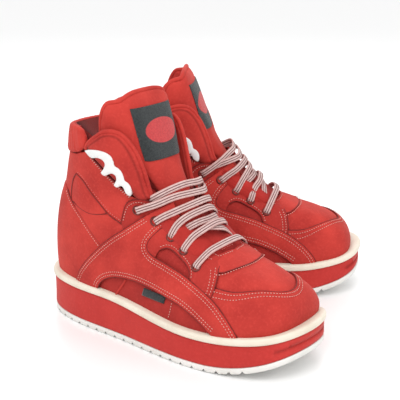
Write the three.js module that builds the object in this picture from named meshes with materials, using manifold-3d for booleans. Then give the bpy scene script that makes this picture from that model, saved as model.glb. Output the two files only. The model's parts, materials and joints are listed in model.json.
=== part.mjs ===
// A pair of red platform high-top lace-up boots. Millimetres, +Z up, +X towards the toes.
// The right boot lies along X. The left boot is its mirror image, toed out beside it.
import * as THREE from 'three';
import { mergeVertices } from 'three/addons/utils/BufferGeometryUtils.js';
import Module from 'manifold-3d';

const wasm = await Module();
wasm.setup();

// ---------------------------------------------------------------- driving dimensions
const SOLE_LENGTH = 280;
const OUTSOLE_THICKNESS = 5.9;
const HEEL_HEIGHT = 35;          // top of the midsole under the heel
const BALL_HEIGHT = 26.9;        // top of the midsole under the ball of the foot
const FOXING_HEIGHT = 6.6;
const FOXING_PROUD = 2.2;        // how far the strip stands out past the midsole
const TOE_SPRING = 20;
const TOE_RISE = 12;             // rise of the midsole's top at the tip
const BALL_X = 200;              // where the toe starts to lift
const TREAD_PITCH = 11.5;
const TREAD_WIDTH = 3.5;
const TREAD_DEPTH = 3;

const GAP = 0.3;                 // clearance between touching pieces
const LEATHER = 1.6;             // overlays, outermost
const BASE_OUT = -1.9;           // base panels lie under the overlays
const BASE_IN = -3.4;
const LINING_OUT = -3.7;
const LINING_IN = -5.6;
const TONGUE_OUT = -7.7;
const TONGUE_IN = -15;
const WING_OUT = 1.5;
const TAB_OUT = 2.6;
const TRIM_OUT = 3.4;

const THROAT_FRONT = 200;
const HINGE = { x: 136.6, z: 152 };   // fold line across the front of the tongue
const HINGE_OPENING = 15;             // degrees of free wedge behind the fold line

const EYELETS = [
  [123.7, 120.2], [140.6, 112], [156, 101], [170.3, 92], [186.2, 82.2],
];
const EYELET_BORE = 4.3;
const LACE_WIDTH = 3.6;
const LACE_THICKNESS = 1.5;
const LACE_OUT = 3.6;            // height of the lace's middle over the eyestay
const LACE_UNDER = -6.5;

const LEFT_YAW = 32;             // the left boot's toe turns this many degrees to +Y
const LEFT_HEEL = [-25.6, 60];   // where the back of the left heel stands
const PAIR_CENTRE = [125.5, 88.8];   // middle of the pair's box, seen from the right heel

// ---------------------------------------------------------------- the boot's outer surface
// Tilted closed sections from the sole up to above the tongue. Each has its rear and front
// points on the middle plane, then half-widths at six places between them, then how far
// the inner side is drawn in at the arch, and how far the middle of the section sinks.
const PLACES = [0, 0.04, 0.22, 0.45, 0.68, 0.87, 0.985, 1];
const SECTIONS = [
  [[2, 31], [270, 32], [24, 39, 44, 55, 46, 33], 0.80, -9],
  [[1, 50], [274, 46], [25, 42, 44, 56, 50, 38], 0.84, -3.5],
  [[1, 74], [269, 61], [25, 41, 42, 48, 41, 29], 0.90, -2],
  [[4, 96], [256, 73], [24, 39.5, 41, 40, 31, 20], 0.95, 0],
  [[9, 113], [234, 80], [23, 39, 40, 36, 25, 15], 1, 1],
  [[15, 129], [204, 87], [22, 39, 40.5, 34, 22, 12], 1, 1],
  [[20, 143], [172, 110], [22, 38, 41, 36, 25, 15], 1, 1],
  [[24, 158], [150, 138], [22, 38, 42, 41, 31, 21], 1, 1],
  [[28, 172], [137, 162], [22, 38, 43.5, 45, 37, 27], 1, 0],
  [[32, 187], [127.5, 190], [22, 38, 44, 47, 40, 30], 1, 0],
  [[36, 205], [118, 214], [22, 38, 44, 47, 40, 30], 1, 0],
  [[40, 222], [109, 234], [22, 37, 43, 45, 38, 29], 1, 0],
];
const TOE_SECTIONS = 3;          // the lowest sections are fuller on the big toe's side

function controlRing([rear, front, widths, arch, sink], index) {
  const half = PLACES.map((place, k) => {
    const width = k === 0 || k === PLACES.length - 1 ? 0 : widths[k - 1];
    const x = THREE.MathUtils.lerp(rear[0], front[0], place);
    const z = THREE.MathUtils.lerp(rear[1], front[1], place) + sink * Math.sin(Math.PI * place);
    return new THREE.Vector3(x, width, z);
  });
  const toe = index < TOE_SECTIONS ? [1, 1.14] : [1, 1];
  const inner = [1, 1, (1 + arch) / 2, arch, (1 + 2 * arch) / 3, ...toe, 1];
  const outside = half.map((p) => new THREE.Vector3(p.x, -p.y, p.z));
  const inside = half.map((p, k) => new THREE.Vector3(p.x, p.y * inner[k], p.z));
  return [...outside, ...inside.slice(1, -1).reverse()];
}

const rings = SECTIONS.map(controlRing);
const AROUND = rings[0].length;
const UP = rings.length - 1;

function splineWeights(t) {
  return [(1 - t) ** 3, 3 * t ** 3 - 6 * t ** 2 + 4, -3 * t ** 3 + 3 * t ** 2 + 3 * t + 1, t ** 3]
    .map((w) => w / 6);
}

function controlPoint(row, column) {
  const c = ((column % AROUND) + AROUND) % AROUND;
  if (row < 0) return rings[0][c].clone().multiplyScalar(2).sub(rings[1][c]);
  if (row > UP) return rings[UP][c].clone().multiplyScalar(2).sub(rings[UP - 1][c]);
  return rings[row][c];
}

// A point of the surface: u runs around the boot from the heel, v runs up from the sole.
function surfacePoint(u, v) {
  const row = Math.min(Math.floor(v), UP - 1);
  const column = Math.floor(u);
  const up = splineWeights(v - row);
  const around = splineWeights(u - column);
  const point = new THREE.Vector3();
  for (let i = 0; i < 4; i += 1) {
    for (let j = 0; j < 4; j += 1) {
      point.addScaledVector(controlPoint(row - 1 + i, column - 1 + j), up[i] * around[j]);
    }
  }
  return point;
}

function surfaceNormal(u, v) {
  const step = 0.02;
  const low = Math.max(v - step, 0);
  const high = Math.min(v + step, UP);
  const around = surfacePoint(u + step, v).sub(surfacePoint(u - step, v));
  const up = surfacePoint(u, high).sub(surfacePoint(u, low));
  return around.cross(up).normalize();
}

function offsetPoint(u, v, offset) {
  return surfacePoint(u, v).addScaledVector(surfaceNormal(u, v), offset);
}

// ---------------------------------------------------------------- solids from the surface
// The grid is finer round the heel and the toe than along the straighter sides.
const HALF_COLUMNS = [0.6, 1.3, 2.1, 3.1, 4, 4.7, 5.3, 5.9, 6.5];
const COLUMNS = [0, ...HALF_COLUMNS, AROUND / 2, ...HALF_COLUMNS.map((u) => AROUND - u).reverse()];
const ROWS = [0, 1.2, 2.2, 3.2, 4.2, 5.3, 6.6, 8.4, 11];

function solid(geometry) {
  const bare = geometry.index ? geometry.toNonIndexed() : geometry.clone();
  bare.deleteAttribute('normal');
  bare.deleteAttribute('uv');
  const merged = mergeVertices(bare, 1e-4);
  return new wasm.Manifold(new wasm.Mesh({
    numProp: 3,
    vertProperties: merged.attributes.position.array,
    triVerts: Uint32Array.from(merged.index.array),
  }));
}

// Rows from turnedFrom on run the other way, so their squares are split along the other
// diagonal: the two faces of a wall then stay parallel.
function fromGrid(points, closedAround, turnedFrom = Infinity) {
  const rows = points.length;
  const columns = points[0].length;
  const positions = [];
  const push = (a, b, c) => positions.push(...a.toArray(), ...b.toArray(), ...c.toArray());
  const last = closedAround ? columns : columns - 1;
  for (let r = 0; r < rows - 1; r += 1) {
    for (let c = 0; c < last; c += 1) {
      const d = (c + 1) % columns;
      if (r < turnedFrom) {
        push(points[r][c], points[r][d], points[r + 1][d]);
        push(points[r][c], points[r + 1][d], points[r + 1][c]);
      } else {
        push(points[r][c], points[r][d], points[r + 1][c]);
        push(points[r][d], points[r + 1][d], points[r + 1][c]);
      }
    }
  }
  const geometry = new THREE.BufferGeometry();
  geometry.setAttribute('position', new THREE.Float32BufferAttribute(positions, 3));
  return geometry;
}

// A wall between two offsets from the surface, open at the top and at the bottom.
function wall(outer, inner, rows = ROWS) {
  const ringAt = (v, offset) => COLUMNS.map((u) => offsetPoint(u, v, offset));
  const up = rows.map((v) => ringAt(v, outer));
  const down = [...rows].reverse().map((v) => ringAt(v, inner));
  const loop = [...up, ...down, up[0]];
  return solid(fromGrid(loop, true, rows.length));
}

const CAP_DEPTH = 20;
// Everything inside an offset of the surface, for cutting the sole's pieces to the upper.
function inside(offset, rows = ROWS) {
  const loops = rows.map((v) => COLUMNS.map((u) => offsetPoint(u, v, offset)));
  const collapse = (ring, rise) => {
    const middle = ring.reduce((sum, p) => sum.add(p), new THREE.Vector3());
    middle.multiplyScalar(1 / ring.length).setZ(middle.z + rise);
    return ring.map(() => middle);
  };
  const below = collapse(loops[0], -CAP_DEPTH);
  const above = collapse(loops.at(-1), CAP_DEPTH);
  return solid(fromGrid([below, ...loops, above], true));
}

const LATERAL = -1;
const MEDIAL = 1;
const FAR = 90;

function extrudeOutline(points, depth) {
  const shape = new THREE.Shape(points.map(([a, b]) => new THREE.Vector2(a, b)));
  return new THREE.ExtrudeGeometry(shape, { depth, bevelEnabled: false });
}

// A prism across the boot: its outline is seen from the side, as x and z.
function sideCut(points, side = 0) {
  const depth = side === 0 ? 2 * FAR : FAR;
  const geometry = extrudeOutline(points, depth);
  geometry.rotateX(Math.PI / 2);
  const far = side === LATERAL ? 0 : FAR;
  const near = side === 0 || side === MEDIAL ? far : 0;
  geometry.translate(0, near, 0);
  return solid(geometry);
}

// An upright prism: its outline is seen from above, as x and y.
function topCut(points, low, high) {
  const geometry = extrudeOutline(points, high - low);
  geometry.translate(0, 0, low);
  return solid(geometry);
}

function smooth(points, steps, closed = false) {
  const curve = new THREE.CatmullRomCurve3(
    points.map(([a, b]) => new THREE.Vector3(a, b, 0)), closed, 'catmullrom', 0.5);
  const samples = curve.getPoints(steps);
  if (closed) samples.pop();
  return samples.map((p) => [p.x, p.y]);
}

// Moves an outline outwards, so that a neighbour cut by it keeps a clearance.
function grow(points, distance) {
  const area = points.reduce((sum, p, k) => {
    const q = points[(k + 1) % points.length];
    return sum + p[0] * q[1] - q[0] * p[1];
  }, 0);
  const turn = Math.sign(area);
  return points.map((p, k) => {
    const before = new THREE.Vector2(...points[(k - 1 + points.length) % points.length]);
    const here = new THREE.Vector2(...p);
    const after = new THREE.Vector2(...points[(k + 1) % points.length]);
    const a = here.clone().sub(before).normalize();
    const b = after.sub(here).normalize();
    const normal = new THREE.Vector2(a.y + b.y, -(a.x + b.x)).normalize().multiplyScalar(turn);
    const stretch = Math.max(normal.dot(new THREE.Vector2(a.y, -a.x)) * turn, 0.5);
    here.addScaledVector(normal, distance / stretch);
    return [here.x, here.y];
  });
}

// ---------------------------------------------------------------- materials
const finish = (color, roughness) => new THREE.MeshStandardMaterial({ color, roughness, metalness: 0 });
const nubuck = finish(0xcd4b44, 0.85);
const darkNubuck = finish(0xb23a35, 0.85);
const redRubber = finish(0xc94a45, 0.6);
const creamRubber = finish(0xebe4d2, 0.6);
const whiteRubber = finish(0xf2f0ea, 0.5);
const redTextile = finish(0xc2453f, 0.9);
const board = finish(0xb9a58a, 0.9);
const labelCloth = finish(0x32393b, 0.7);
const laceCloth = finish(0xf0d9d6, 0.9);
const darkMetal = finish(0x5a2624, 0.45);

const parts = [];
function keep(name, body, material) {
  const mesh = body.getMesh();
  const geometry = new THREE.BufferGeometry();
  geometry.setAttribute('position', new THREE.Float32BufferAttribute(mesh.vertProperties, 3));
  geometry.setIndex([...mesh.triVerts]);
  geometry.computeVertexNormals();
  parts.push({ name, geometry, material });
}

// ---------------------------------------------------------------- sole
const soleOutline = smooth([
  [0, 0], [14, -25], [50, -39.6], [110, -45.8], [185, -54.5], [243, -47.4], [270, -32],
  [SOLE_LENGTH, -1], [271, 32], [245, 47], [200, 50], [120, 34], [50, 36], [14, 24],
], 34, true);

const ease = (t) => THREE.MathUtils.smoothstep(t, 0, 1);
const toeShare = (x) => (Math.max(x - BALL_X, 0) / (SOLE_LENGTH - BALL_X)) ** 2;
const groundLine = (x) => TOE_SPRING * toeShare(x);
const midsoleTop = (x) => {
  const drop = (HEEL_HEIGHT - BALL_HEIGHT) * ease((x - 84) / (BALL_X - 6 - 84));
  return HEEL_HEIGHT - drop + TOE_RISE * toeShare(x);
};
const SOLE_STEPS = [-12, 84, 106, 128, 150, 172, 194, 210, 226, 242, 258, 272, 292];

// A slab between two lines that run along the sole.
function slab(lower, upper) {
  const bottom = SOLE_STEPS.map((x) => [x, lower(x)]);
  const top = SOLE_STEPS.map((x) => [x, upper(x)]).reverse();
  return sideCut([...bottom, ...top]);
}

const SOLE_TOP = 90;
const soleColumn = topCut(soleOutline, -5, SOLE_TOP);
const foxingColumn = topCut(grow(soleOutline, FOXING_PROUD), -5, SOLE_TOP);
const outsoleTop = (x) => groundLine(x) + OUTSOLE_THICKNESS;
const above = (line, rise) => (x) => line(x) + rise;

let outsole = soleColumn.intersect(slab(groundLine, above(outsoleTop, -GAP)));
for (let x = TREAD_PITCH; x < SOLE_LENGTH - 3 * TREAD_PITCH; x += TREAD_PITCH) {
  const low = groundLine(x) - 1;
  const groove = [
    [x - TREAD_WIDTH / 2 - 0.6, low], [x + TREAD_WIDTH / 2 + 0.6, low],
    [x, groundLine(x) + TREAD_DEPTH],
  ];
  outsole = outsole.subtract(sideCut(groove));
}
keep('outsole', outsole, whiteRubber);
keep('midsole', soleColumn.intersect(slab(outsoleTop, midsoleTop)), redRubber);

const foxingTop = above(midsoleTop, FOXING_HEIGHT);
const foxingSlab = slab(above(midsoleTop, GAP), foxingTop);
keep('foxing_strip', foxingColumn.intersect(foxingSlab).subtract(inside(GAP)), creamRubber);

const upperCavity = inside(LINING_IN - GAP);
const boardSlab = slab(above(midsoleTop, GAP), above(midsoleTop, 2.3));
keep('insole_board', upperCavity.intersect(boardSlab), board);
const footbedSlab = slab(above(midsoleTop, 2.6), above(midsoleTop, 7));
keep('footbed', upperCavity.intersect(footbedSlab), redTextile);

// ---------------------------------------------------------------- panel outlines, side view
const flankOutline = [
  [47, 15], [51.5, 41.5], [68, 64], [85.5, 81], [113, 102], [131, 116.5], [139, 121.5],
  [152, 130], [164, 121], [149.5, 109.5], [143, 103], [137.5, 94], [138, 88],
  [146.5, 83], [168, 77], [184.5, 71.5], [206, 62], [224.5, 50], [236, 36], [240, 15],
  [216, 15], [214, 34], [191, 48], [163, 55], [133, 59.5], [103, 57.5], [88.5, 50.5],
  [81, 39], [79, 15],
];
const counterOutline = [
  [-12, 10], [-12, 125], [30, 125.5], [36, 123.5], [43, 114.5], [61, 101], [78.7, 87.5],
  [92, 76], [56, 10],
];
const eyestayOutline = [
  [130, 100], [150, 125], [160, 128], [216, 112],
  [200, 88], [205, 77.5], [207.5, 68.5], [207, 52], [184, 60], [183.5, 73], [181.5, 79],
  [175, 84], [167, 88.5], [158, 92.5], [152, 92], [147.5, 87.5], [146, 79], [130, 79],
];
const ankleOutline = [
  [40, 100], [43.5, 116], [47, 128], [52, 139], [55.5, 141.5], [60, 140], [73.8, 128],
  [88.8, 116.5], [99.9, 111.8], [116, 105], [120, 98], [84, 68], [60, 80],
];
const slotLine = [[73.7, 165.5], [97, 147.7], [117.4, 131]];
const collarOutline = [
  [-12, 126], [-12, 158.5], [30, 157.5], [55, 160], [68, 165], ...slotLine,
  [124, 129.5], [138, 128], [150, 136], [150, 118], [128, 104], [100, 88], [40, 96], [34, 126],
];
const wingOutline = [
  [75.5, 170.5], [81, 177.5], [90, 184.5], [101.5, 187.5], [110, 185], [116.5, 180],
  [125.5, 158], [132.5, 139], [134.5, 132.5],
  [122, 131.6], [118, 132.2], [97.4, 148.5], [74.5, 166.4],
];
const tabOutline = [
  [-12, 159], [-12, 184], [24, 184], [45, 186.5], [62, 186.5], [69, 184], [72, 178],
  [73.4, 171], [67, 165.8], [55, 160.6], [30, 158.1],
];
const liningOutline = [
  [-12, 10], [-12, 183], [24, 183], [45, 185.5], [62, 185.5], [68, 183], [71, 177],
  [74, 168], [80, 175.5], [90, 183], [101.5, 186], [109, 183.5], [115, 179],
  [124, 157.5], [131, 138.5], [136, 128], [147, 112], [170, 103], [212, 98],
  [300, 90], [300, 10],
];
// Room for the eyelet strip in the lining.
const rowOutline = [
  [106, 118], [114, 127.5], [128, 129], [145, 124], [160, 112.5], [174, 103], [188, 93],
  [199, 87], [199, 72], [189, 67], [170, 79], [156, 89], [142, 99.5], [128, 107.5], [110, 111],
];

const throatOutline = (margin) => {
  const side = [
    [THROAT_FRONT, 0], [THROAT_FRONT - 2, 12], [194, 19], [185, 22], [165, 21], [150, 21],
    [138, 24], [129, 29], [122, 33],
  ].map(([x, y]) => [x + margin, y === 0 ? 0 : y + margin]);
  const back = [60, 33 + margin];
  const half = [...side, back];
  const mirrored = half.slice(1).reverse().map(([x, y]) => [x, -y]);
  return [...half, ...mirrored];
};
const vampSeam = smooth([
  [188, 41], [208, 40.5], [226, 37], [243, 27], [255, 13], [259, 0],
  [255, -14], [243, -25], [226, -35], [208, -39], [188, -41],
], 20);

// ---------------------------------------------------------------- layers
const overlays = wall(0, -LEATHER);
const basePanels = wall(BASE_OUT, BASE_IN);
const standing = sideCut([
  ...SOLE_STEPS.map((x) => [x, midsoleTop(x) + GAP]), [292, 250], [-12, 250],
]);
const throat = topCut(throatOutline(0), 62, 250);

const overlay = overlays.intersect(standing);
const base = basePanels.intersect(standing);

const flankRoom = sideCut(grow(flankOutline, GAP));
const eyestayRoom = sideCut(grow(eyestayOutline, GAP));
const vampColumn = topCut(vampSeam, 50, 140);
const vampRoom = topCut(grow(vampSeam, -GAP), 50, 140);

keep('heel_counter', overlay.intersect(sideCut(counterOutline)).subtract(flankRoom), nubuck);

const toeRegion = sideCut([[229, 10], [224, 44], [200, 60], [200, 90], [300, 90], [300, 10]]);
const mudguard = overlay.intersect(toeRegion).subtract(flankRoom).subtract(eyestayRoom)
  .subtract(vampColumn);
keep('toe_mudguard', mudguard, nubuck);

const vampBlank = base.intersect(topCut(grow(vampSeam, 4), 50, 140));
const vampFront = sideCut([[203, 40], [201, 66], [200, 80], [200, 110], [300, 110], [300, 40]]);
keep('vamp', vampBlank.intersect(vampFront).subtract(throat), nubuck);

const lining = wall(LINING_OUT, LINING_IN).intersect(standing).intersect(sideCut(liningOutline));
const liningThroat = topCut(throatOutline(13), 62, 250);
keep('lining', lining.subtract(liningThroat).subtract(sideCut(rowOutline)), redTextile);

// ---------------------------------------------------------------- eyelets
// The surface point that shows at x and z in the side view.
function surfaceAt(x, z, side) {
  let best = null;
  for (let u = 0; u < AROUND / 2; u += 0.05) {
    for (let v = 3; v < 8; v += 0.05) {
      const p = surfacePoint(side === LATERAL ? u : AROUND - u, v);
      const miss = (p.x - x) ** 2 + (p.z - z) ** 2;
      if (!best || miss < best.miss) best = { miss, u: side === LATERAL ? u : AROUND - u, v, p };
    }
  }
  return best;
}

function eyeletFrame(x, z, side) {
  const spot = surfaceAt(x, z, side);
  const out = surfaceNormal(spot.u, spot.v);
  return { spot, out };
}

const EYELET_SIDES = 8;
const HOLE_DEPTH = 16;
function eyeletHole({ spot, out }) {
  const hole = new THREE.CylinderGeometry(EYELET_BORE, EYELET_BORE, HOLE_DEPTH, EYELET_SIDES);
  const turn = new THREE.Quaternion().setFromUnitVectors(new THREE.Vector3(0, 1, 0), out);
  hole.applyQuaternion(turn);
  hole.translate(...spot.p.toArray());
  return solid(hole);
}

const ROW_HALF_WIDTH = 8;
const ROW_OUT = -4.2;
const ROW_IN = -5.2;
// The strip behind the eyestay that carries the five eyelets.
function eyeletStrip(side) {
  const first = [2 * EYELETS[0][0] - EYELETS[1][0] + 7, 2 * EYELETS[0][1] - EYELETS[1][1] - 5];
  const last = [EYELETS[4][0] + 8, EYELETS[4][1] - 6];
  const stations = [first, ...EYELETS, last].map(([x, z], k, list) => {
    const before = list[Math.max(k - 1, 0)];
    const after = list[Math.min(k + 1, list.length - 1)];
    const across = new THREE.Vector2(before[1] - after[1], after[0] - before[0]).normalize();
    return [-1, 0, 1].map((share) => {
      const reach = share * ROW_HALF_WIDTH;
      return surfaceAt(x + across.x * reach, z + across.y * reach, side);
    });
  });
  const section = (station) => {
    const outer = station.map(({ u, v }) => offsetPoint(u, v, ROW_OUT));
    const inner = station.map(({ u, v }) => offsetPoint(u, v, ROW_IN)).reverse();
    const loop = [...outer, ...inner];
    return side === LATERAL ? loop.reverse() : loop;
  };
  const loops = stations.map(section);
  const close = (loop) => {
    const middle = loop.reduce((sum, p) => sum.add(p), new THREE.Vector3());
    return loop.map(() => middle.clone().multiplyScalar(1 / loop.length));
  };
  return solid(fromGrid([close(loops[0]), ...loops, close(loops.at(-1))], true));
}

// ---------------------------------------------------------------- pieces on both sides
const WING_CLEARANCE = 0.6;      // between the wing's front edge and the throat
const trimOutline = [
  [74.5, 167.5], [80, 169.2], [87, 170.2], [93.5, 170.3], [99.5, 169.3], [103.8, 166.6],
  [105.8, 162.2], [106.6, 158.6], [109.6, 156.9], [112.4, 153.7], [113.8, 149.7],
  [114.6, 146.4], [117.4, 144.4], [119.5, 141], [120.2, 136.5], [118.9, 133.2],
  [116.6, 134], [114.6, 136], [113.8, 138.4], [112.6, 140.6], [110.7, 141.4],
  [107.2, 139.5], [104.1, 141.2], [105.6, 143.7], [107, 146.3], [106.9, 149.8],
  [104.2, 151.6], [101.2, 151.2], [95.5, 148.4], [91.7, 150.5], [94.1, 153.3],
  [96.5, 156.8], [97.2, 160.1], [94.8, 162.8], [89.8, 163.8], [83.3, 162.5], [79, 163.9],
];
for (const [sideName, side] of [['lateral', LATERAL], ['medial', MEDIAL]]) {
  const frames = EYELETS.map(([x, z]) => eyeletFrame(x, z, side));
  const half = (outline) => sideCut(outline, side);

  const holes = frames.map(eyeletHole);
  const flank = overlay.intersect(half(flankOutline)).subtract(throat).subtract(holes[1]);
  keep(`flank_${sideName}`, flank, nubuck);

  let eyestay = overlay.intersect(half(eyestayOutline)).subtract(flankRoom).subtract(throat);
  for (const hole of holes.slice(2)) eyestay = eyestay.subtract(hole);
  keep(`eyestay_${sideName}`, eyestay, darkNubuck);

  let row = eyeletStrip(side);
  for (const hole of holes) row = row.subtract(hole);
  keep(`eyelet_row_${sideName}`, row, darkMetal);

  keep(`ankle_panel_${sideName}`, base.intersect(half(ankleOutline)), nubuck);

  const seam = side === LATERAL ? [[-12, -GAP / 2], [60, -GAP / 2]] : [[60, GAP / 2], [-12, GAP / 2]];
  const edge = side === LATERAL ? [[60, -FAR], [-12, -FAR]] : [[-12, FAR], [60, FAR]];
  const backHalf = topCut([...seam, ...edge], 60, 250)
    .add(half([[59, 60], [59, 250], [200, 250], [200, 60]]));
  const collar = base.intersect(half(collarOutline)).intersect(backHalf)
    .subtract(half(grow(ankleOutline, GAP))).subtract(throat).subtract(holes[0]).subtract(holes[1]);
  keep(`collar_panel_${sideName}`, collar, nubuck);

  const quarterOutline = [
    [76, 20], [76, 62], [88, 66], [119, 96.5], [140, 98], [156, 90.4], [170, 81.4],
    [184, 71.9], [198, 66], [200.5, 20],
  ];
  const quarter = base.intersect(half(quarterOutline)).subtract(half(grow(ankleOutline, GAP)))
    .subtract(half(grow(collarOutline, GAP)));
  keep(`quarter_${sideName}`, quarter, nubuck);

  const padding = wall(WING_OUT, BASE_IN, ROWS.slice(5));
  const wingThroat = topCut(throatOutline(WING_CLEARANCE), 100, 250);
  const wing = padding.intersect(half(wingOutline)).subtract(wingThroat)
    .subtract(half(grow(eyestayOutline, GAP)));
  keep(`collar_wing_${sideName}`, wing, nubuck);

  const trim = wall(TRIM_OUT, WING_OUT + GAP, ROWS.slice(6)).intersect(half(trimOutline));
  keep(`scallop_trim_${sideName}`, trim, whiteRubber);
}

const tab = wall(TAB_OUT, BASE_IN, ROWS.slice(6)).intersect(sideCut(tabOutline));
keep('heel_tab', tab, nubuck);

// ---------------------------------------------------------------- tongue
const tongueWall = wall(TONGUE_OUT, TONGUE_IN);
const tongueSide = sideCut([
  [214, 60], [176, 60], [120, 100], [102, 140], [93, 160], [90, 190], [93, 203], [99, 214],
  [104, 219], [108, 221.5], [140, 221.5], [170, 160], [214, 110],
]);
const frontOutline = smooth([
  [0, 221.5], [14, 220.5], [25, 216], [33, 208], [38, 197], [38.5, 187], [36, 179], [32.8, 172.5],
  [32.3, 162], [31, 151], [27.5, 138], [24, 118], [21, 92], [19, 60],
], 18);
const frontMirror = frontOutline.slice(1).reverse().map(([y, z]) => [-y, z]);
const frontPrism = extrudeOutline([...frontOutline, ...frontMirror], 200);
frontPrism.rotateX(Math.PI / 2);
frontPrism.rotateZ(Math.PI / 2);
frontPrism.translate(50, 0, 0);
const tongue = tongueWall.intersect(tongueSide).intersect(solid(frontPrism));

const foldCut = (rise) => {
  const angle = THREE.MathUtils.degToRad(rise);
  const reach = 90;
  const back = [HINGE.x - reach * Math.cos(angle), HINGE.z + reach * Math.sin(angle)];
  const ahead = [HINGE.x + 40, HINGE.z - 40 * Math.tan(angle)];
  return { back, ahead };
};
const upperFold = foldCut(HINGE_OPENING - 8);
const lowerFold = foldCut(-8);
const tongueTop = tongue.intersect(sideCut([
  [HINGE.x, HINGE.z + GAP], [200, HINGE.z + GAP], [200, 260], [20, 260],
  [20, upperFold.back[1] + GAP], [upperFold.back[0], upperFold.back[1] + GAP],
]));
const tongueLower = tongue.intersect(sideCut([
  [HINGE.x, HINGE.z - GAP], [230, HINGE.z - GAP], [230, 40], [20, 40],
  [20, lowerFold.back[1] - GAP], [lowerFold.back[0], lowerFold.back[1] - GAP],
]));
keep('tongue_top', tongueTop, nubuck);
keep('tongue_lower', tongueLower, nubuck);

const labelFace = extrudeOutline([[-27, 166], [27, 166], [26.5, 204], [-26.5, 204]], 60);
labelFace.rotateX(Math.PI / 2);
labelFace.rotateZ(Math.PI / 2);
labelFace.translate(90, 0, 0);
const label = wall(TONGUE_OUT + GAP + 1, TONGUE_OUT + GAP, ROWS.slice(7)).intersect(solid(labelFace));
keep('tongue_label', label, labelCloth);

// ---------------------------------------------------------------- lace
// The point on the front middle line that a bar laid square across the instep passes over.
function ridgeAbove([x, z]) {
  let best = null;
  for (let v = 4; v < 9; v += 0.02) {
    const p = surfacePoint(AROUND / 2, v);
    const out = surfaceNormal(AROUND / 2, v);
    const miss = Math.abs((p.x - x) * out.z - (p.z - z) * out.x);
    if (!best || miss < best.miss) best = { miss, x: p.x, z: p.z };
  }
  return best;
}

// Straight bars over the tongue, joined by short runs behind the eyestays.
const BAR_SHARES = [0.35, 0.75];
function lacePoints() {
  const route = [];
  const at = ({ spot, out }, height) => spot.p.clone().addScaledVector(out, height);
  [...EYELETS].reverse().forEach(([x, z], k) => {
    const sides = k % 2 === 0 ? [LATERAL, MEDIAL] : [MEDIAL, LATERAL];
    const ridge = ridgeAbove([x, z]);
    const climb = (side) => BAR_SHARES.map((share) => {
      const spot = surfaceAt(x + (ridge.x - x) * share, z + (ridge.z - z) * share, side);
      return offsetPoint(spot.u, spot.v, LACE_OUT);
    });
    const [start, end] = sides.map((side) => eyeletFrame(x, z, side));
    const top = surfaceAt(ridge.x, ridge.z, LATERAL);
    route.push(at(start, LACE_UNDER), at(start, -2), at(start, LACE_OUT), ...climb(sides[0]));
    route.push(offsetPoint(AROUND / 2, top.v, LACE_OUT));
    route.push(...climb(sides[1]).reverse(), at(end, LACE_OUT), at(end, -2), at(end, LACE_UNDER));
  });
  return route;
}

const laceSection = Array.from({ length: 8 }, (_, k) => {
  const a = (Math.PI * (2 * k + 1)) / 8;
  return new THREE.Vector2(LACE_WIDTH / 2 * Math.cos(a), LACE_THICKNESS / 2 * Math.sin(a));
});
const laceRoute = lacePoints();
const laceCurve = new THREE.CatmullRomCurve3(laceRoute, false, 'centripetal');
laceCurve.getUtoTmapping = (share) => share;   // one section at each point of the route
const laceGeometry = new THREE.ExtrudeGeometry(new THREE.Shape(laceSection), {
  steps: laceRoute.length - 1, extrudePath: laceCurve, bevelEnabled: false,
});
keep('lace', solid(laceGeometry), laceCloth);

// ---------------------------------------------------------------- the pair
function boot(prefix) {
  const group = new THREE.Group();
  for (const { name, geometry, material } of parts) {
    const mesh = new THREE.Mesh(geometry, material);
    mesh.name = `${prefix}_${name}`;
    group.add(mesh);
  }
  return group;
}

const pair = new THREE.Group();
const rightBoot = boot('right');
const leftBoot = boot('left');
leftBoot.scale.y = -1;
leftBoot.rotation.z = THREE.MathUtils.degToRad(LEFT_YAW);
leftBoot.position.set(LEFT_HEEL[0], LEFT_HEEL[1], 0);
pair.add(rightBoot, leftBoot);
pair.position.set(-PAIR_CENTRE[0], -PAIR_CENTRE[1], 0);

export default pair;
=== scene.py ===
import json
import math

import bmesh
import bpy
from mathutils import Matrix, Vector
from mathutils.bvhtree import BVHTree
from mathutils.kdtree import KDTree


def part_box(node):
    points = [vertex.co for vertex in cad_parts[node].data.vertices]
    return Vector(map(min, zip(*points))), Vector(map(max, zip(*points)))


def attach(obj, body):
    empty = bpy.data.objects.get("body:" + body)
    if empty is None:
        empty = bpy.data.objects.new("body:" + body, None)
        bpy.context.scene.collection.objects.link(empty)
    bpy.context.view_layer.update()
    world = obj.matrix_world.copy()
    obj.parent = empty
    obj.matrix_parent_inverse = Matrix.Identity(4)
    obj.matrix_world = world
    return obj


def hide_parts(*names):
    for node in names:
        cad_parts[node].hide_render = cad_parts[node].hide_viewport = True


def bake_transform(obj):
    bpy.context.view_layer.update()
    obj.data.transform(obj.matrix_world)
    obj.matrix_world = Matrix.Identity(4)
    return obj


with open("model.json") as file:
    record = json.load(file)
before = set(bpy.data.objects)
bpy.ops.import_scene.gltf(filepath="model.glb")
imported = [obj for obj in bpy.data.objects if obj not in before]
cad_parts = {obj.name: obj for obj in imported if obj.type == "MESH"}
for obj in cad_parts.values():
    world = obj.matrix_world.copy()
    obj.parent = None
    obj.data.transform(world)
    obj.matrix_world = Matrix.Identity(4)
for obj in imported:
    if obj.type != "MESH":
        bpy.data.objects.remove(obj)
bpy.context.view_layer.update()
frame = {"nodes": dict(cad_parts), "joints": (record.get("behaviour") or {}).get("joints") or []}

# ---------------------------------------------------------------- camera, light and floor
# A long lens looks down on the right boot's outer side, from ahead of its toe.
camera_data = bpy.data.cameras.new("camera")
camera_data.lens = 90
camera_data.sensor_width = 36
camera = bpy.data.objects.new("camera", camera_data)
camera.location = (.5203, -.7519, .3733)
camera.rotation_mode = "QUATERNION"
camera.rotation_quaternion = Vector((-.5628, .7753, -.2867)).to_track_quat("-Z", "Y")
bpy.context.scene.collection.objects.link(camera)
bpy.context.scene.camera = camera
bpy.context.scene.view_settings.view_transform = "Standard"


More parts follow.
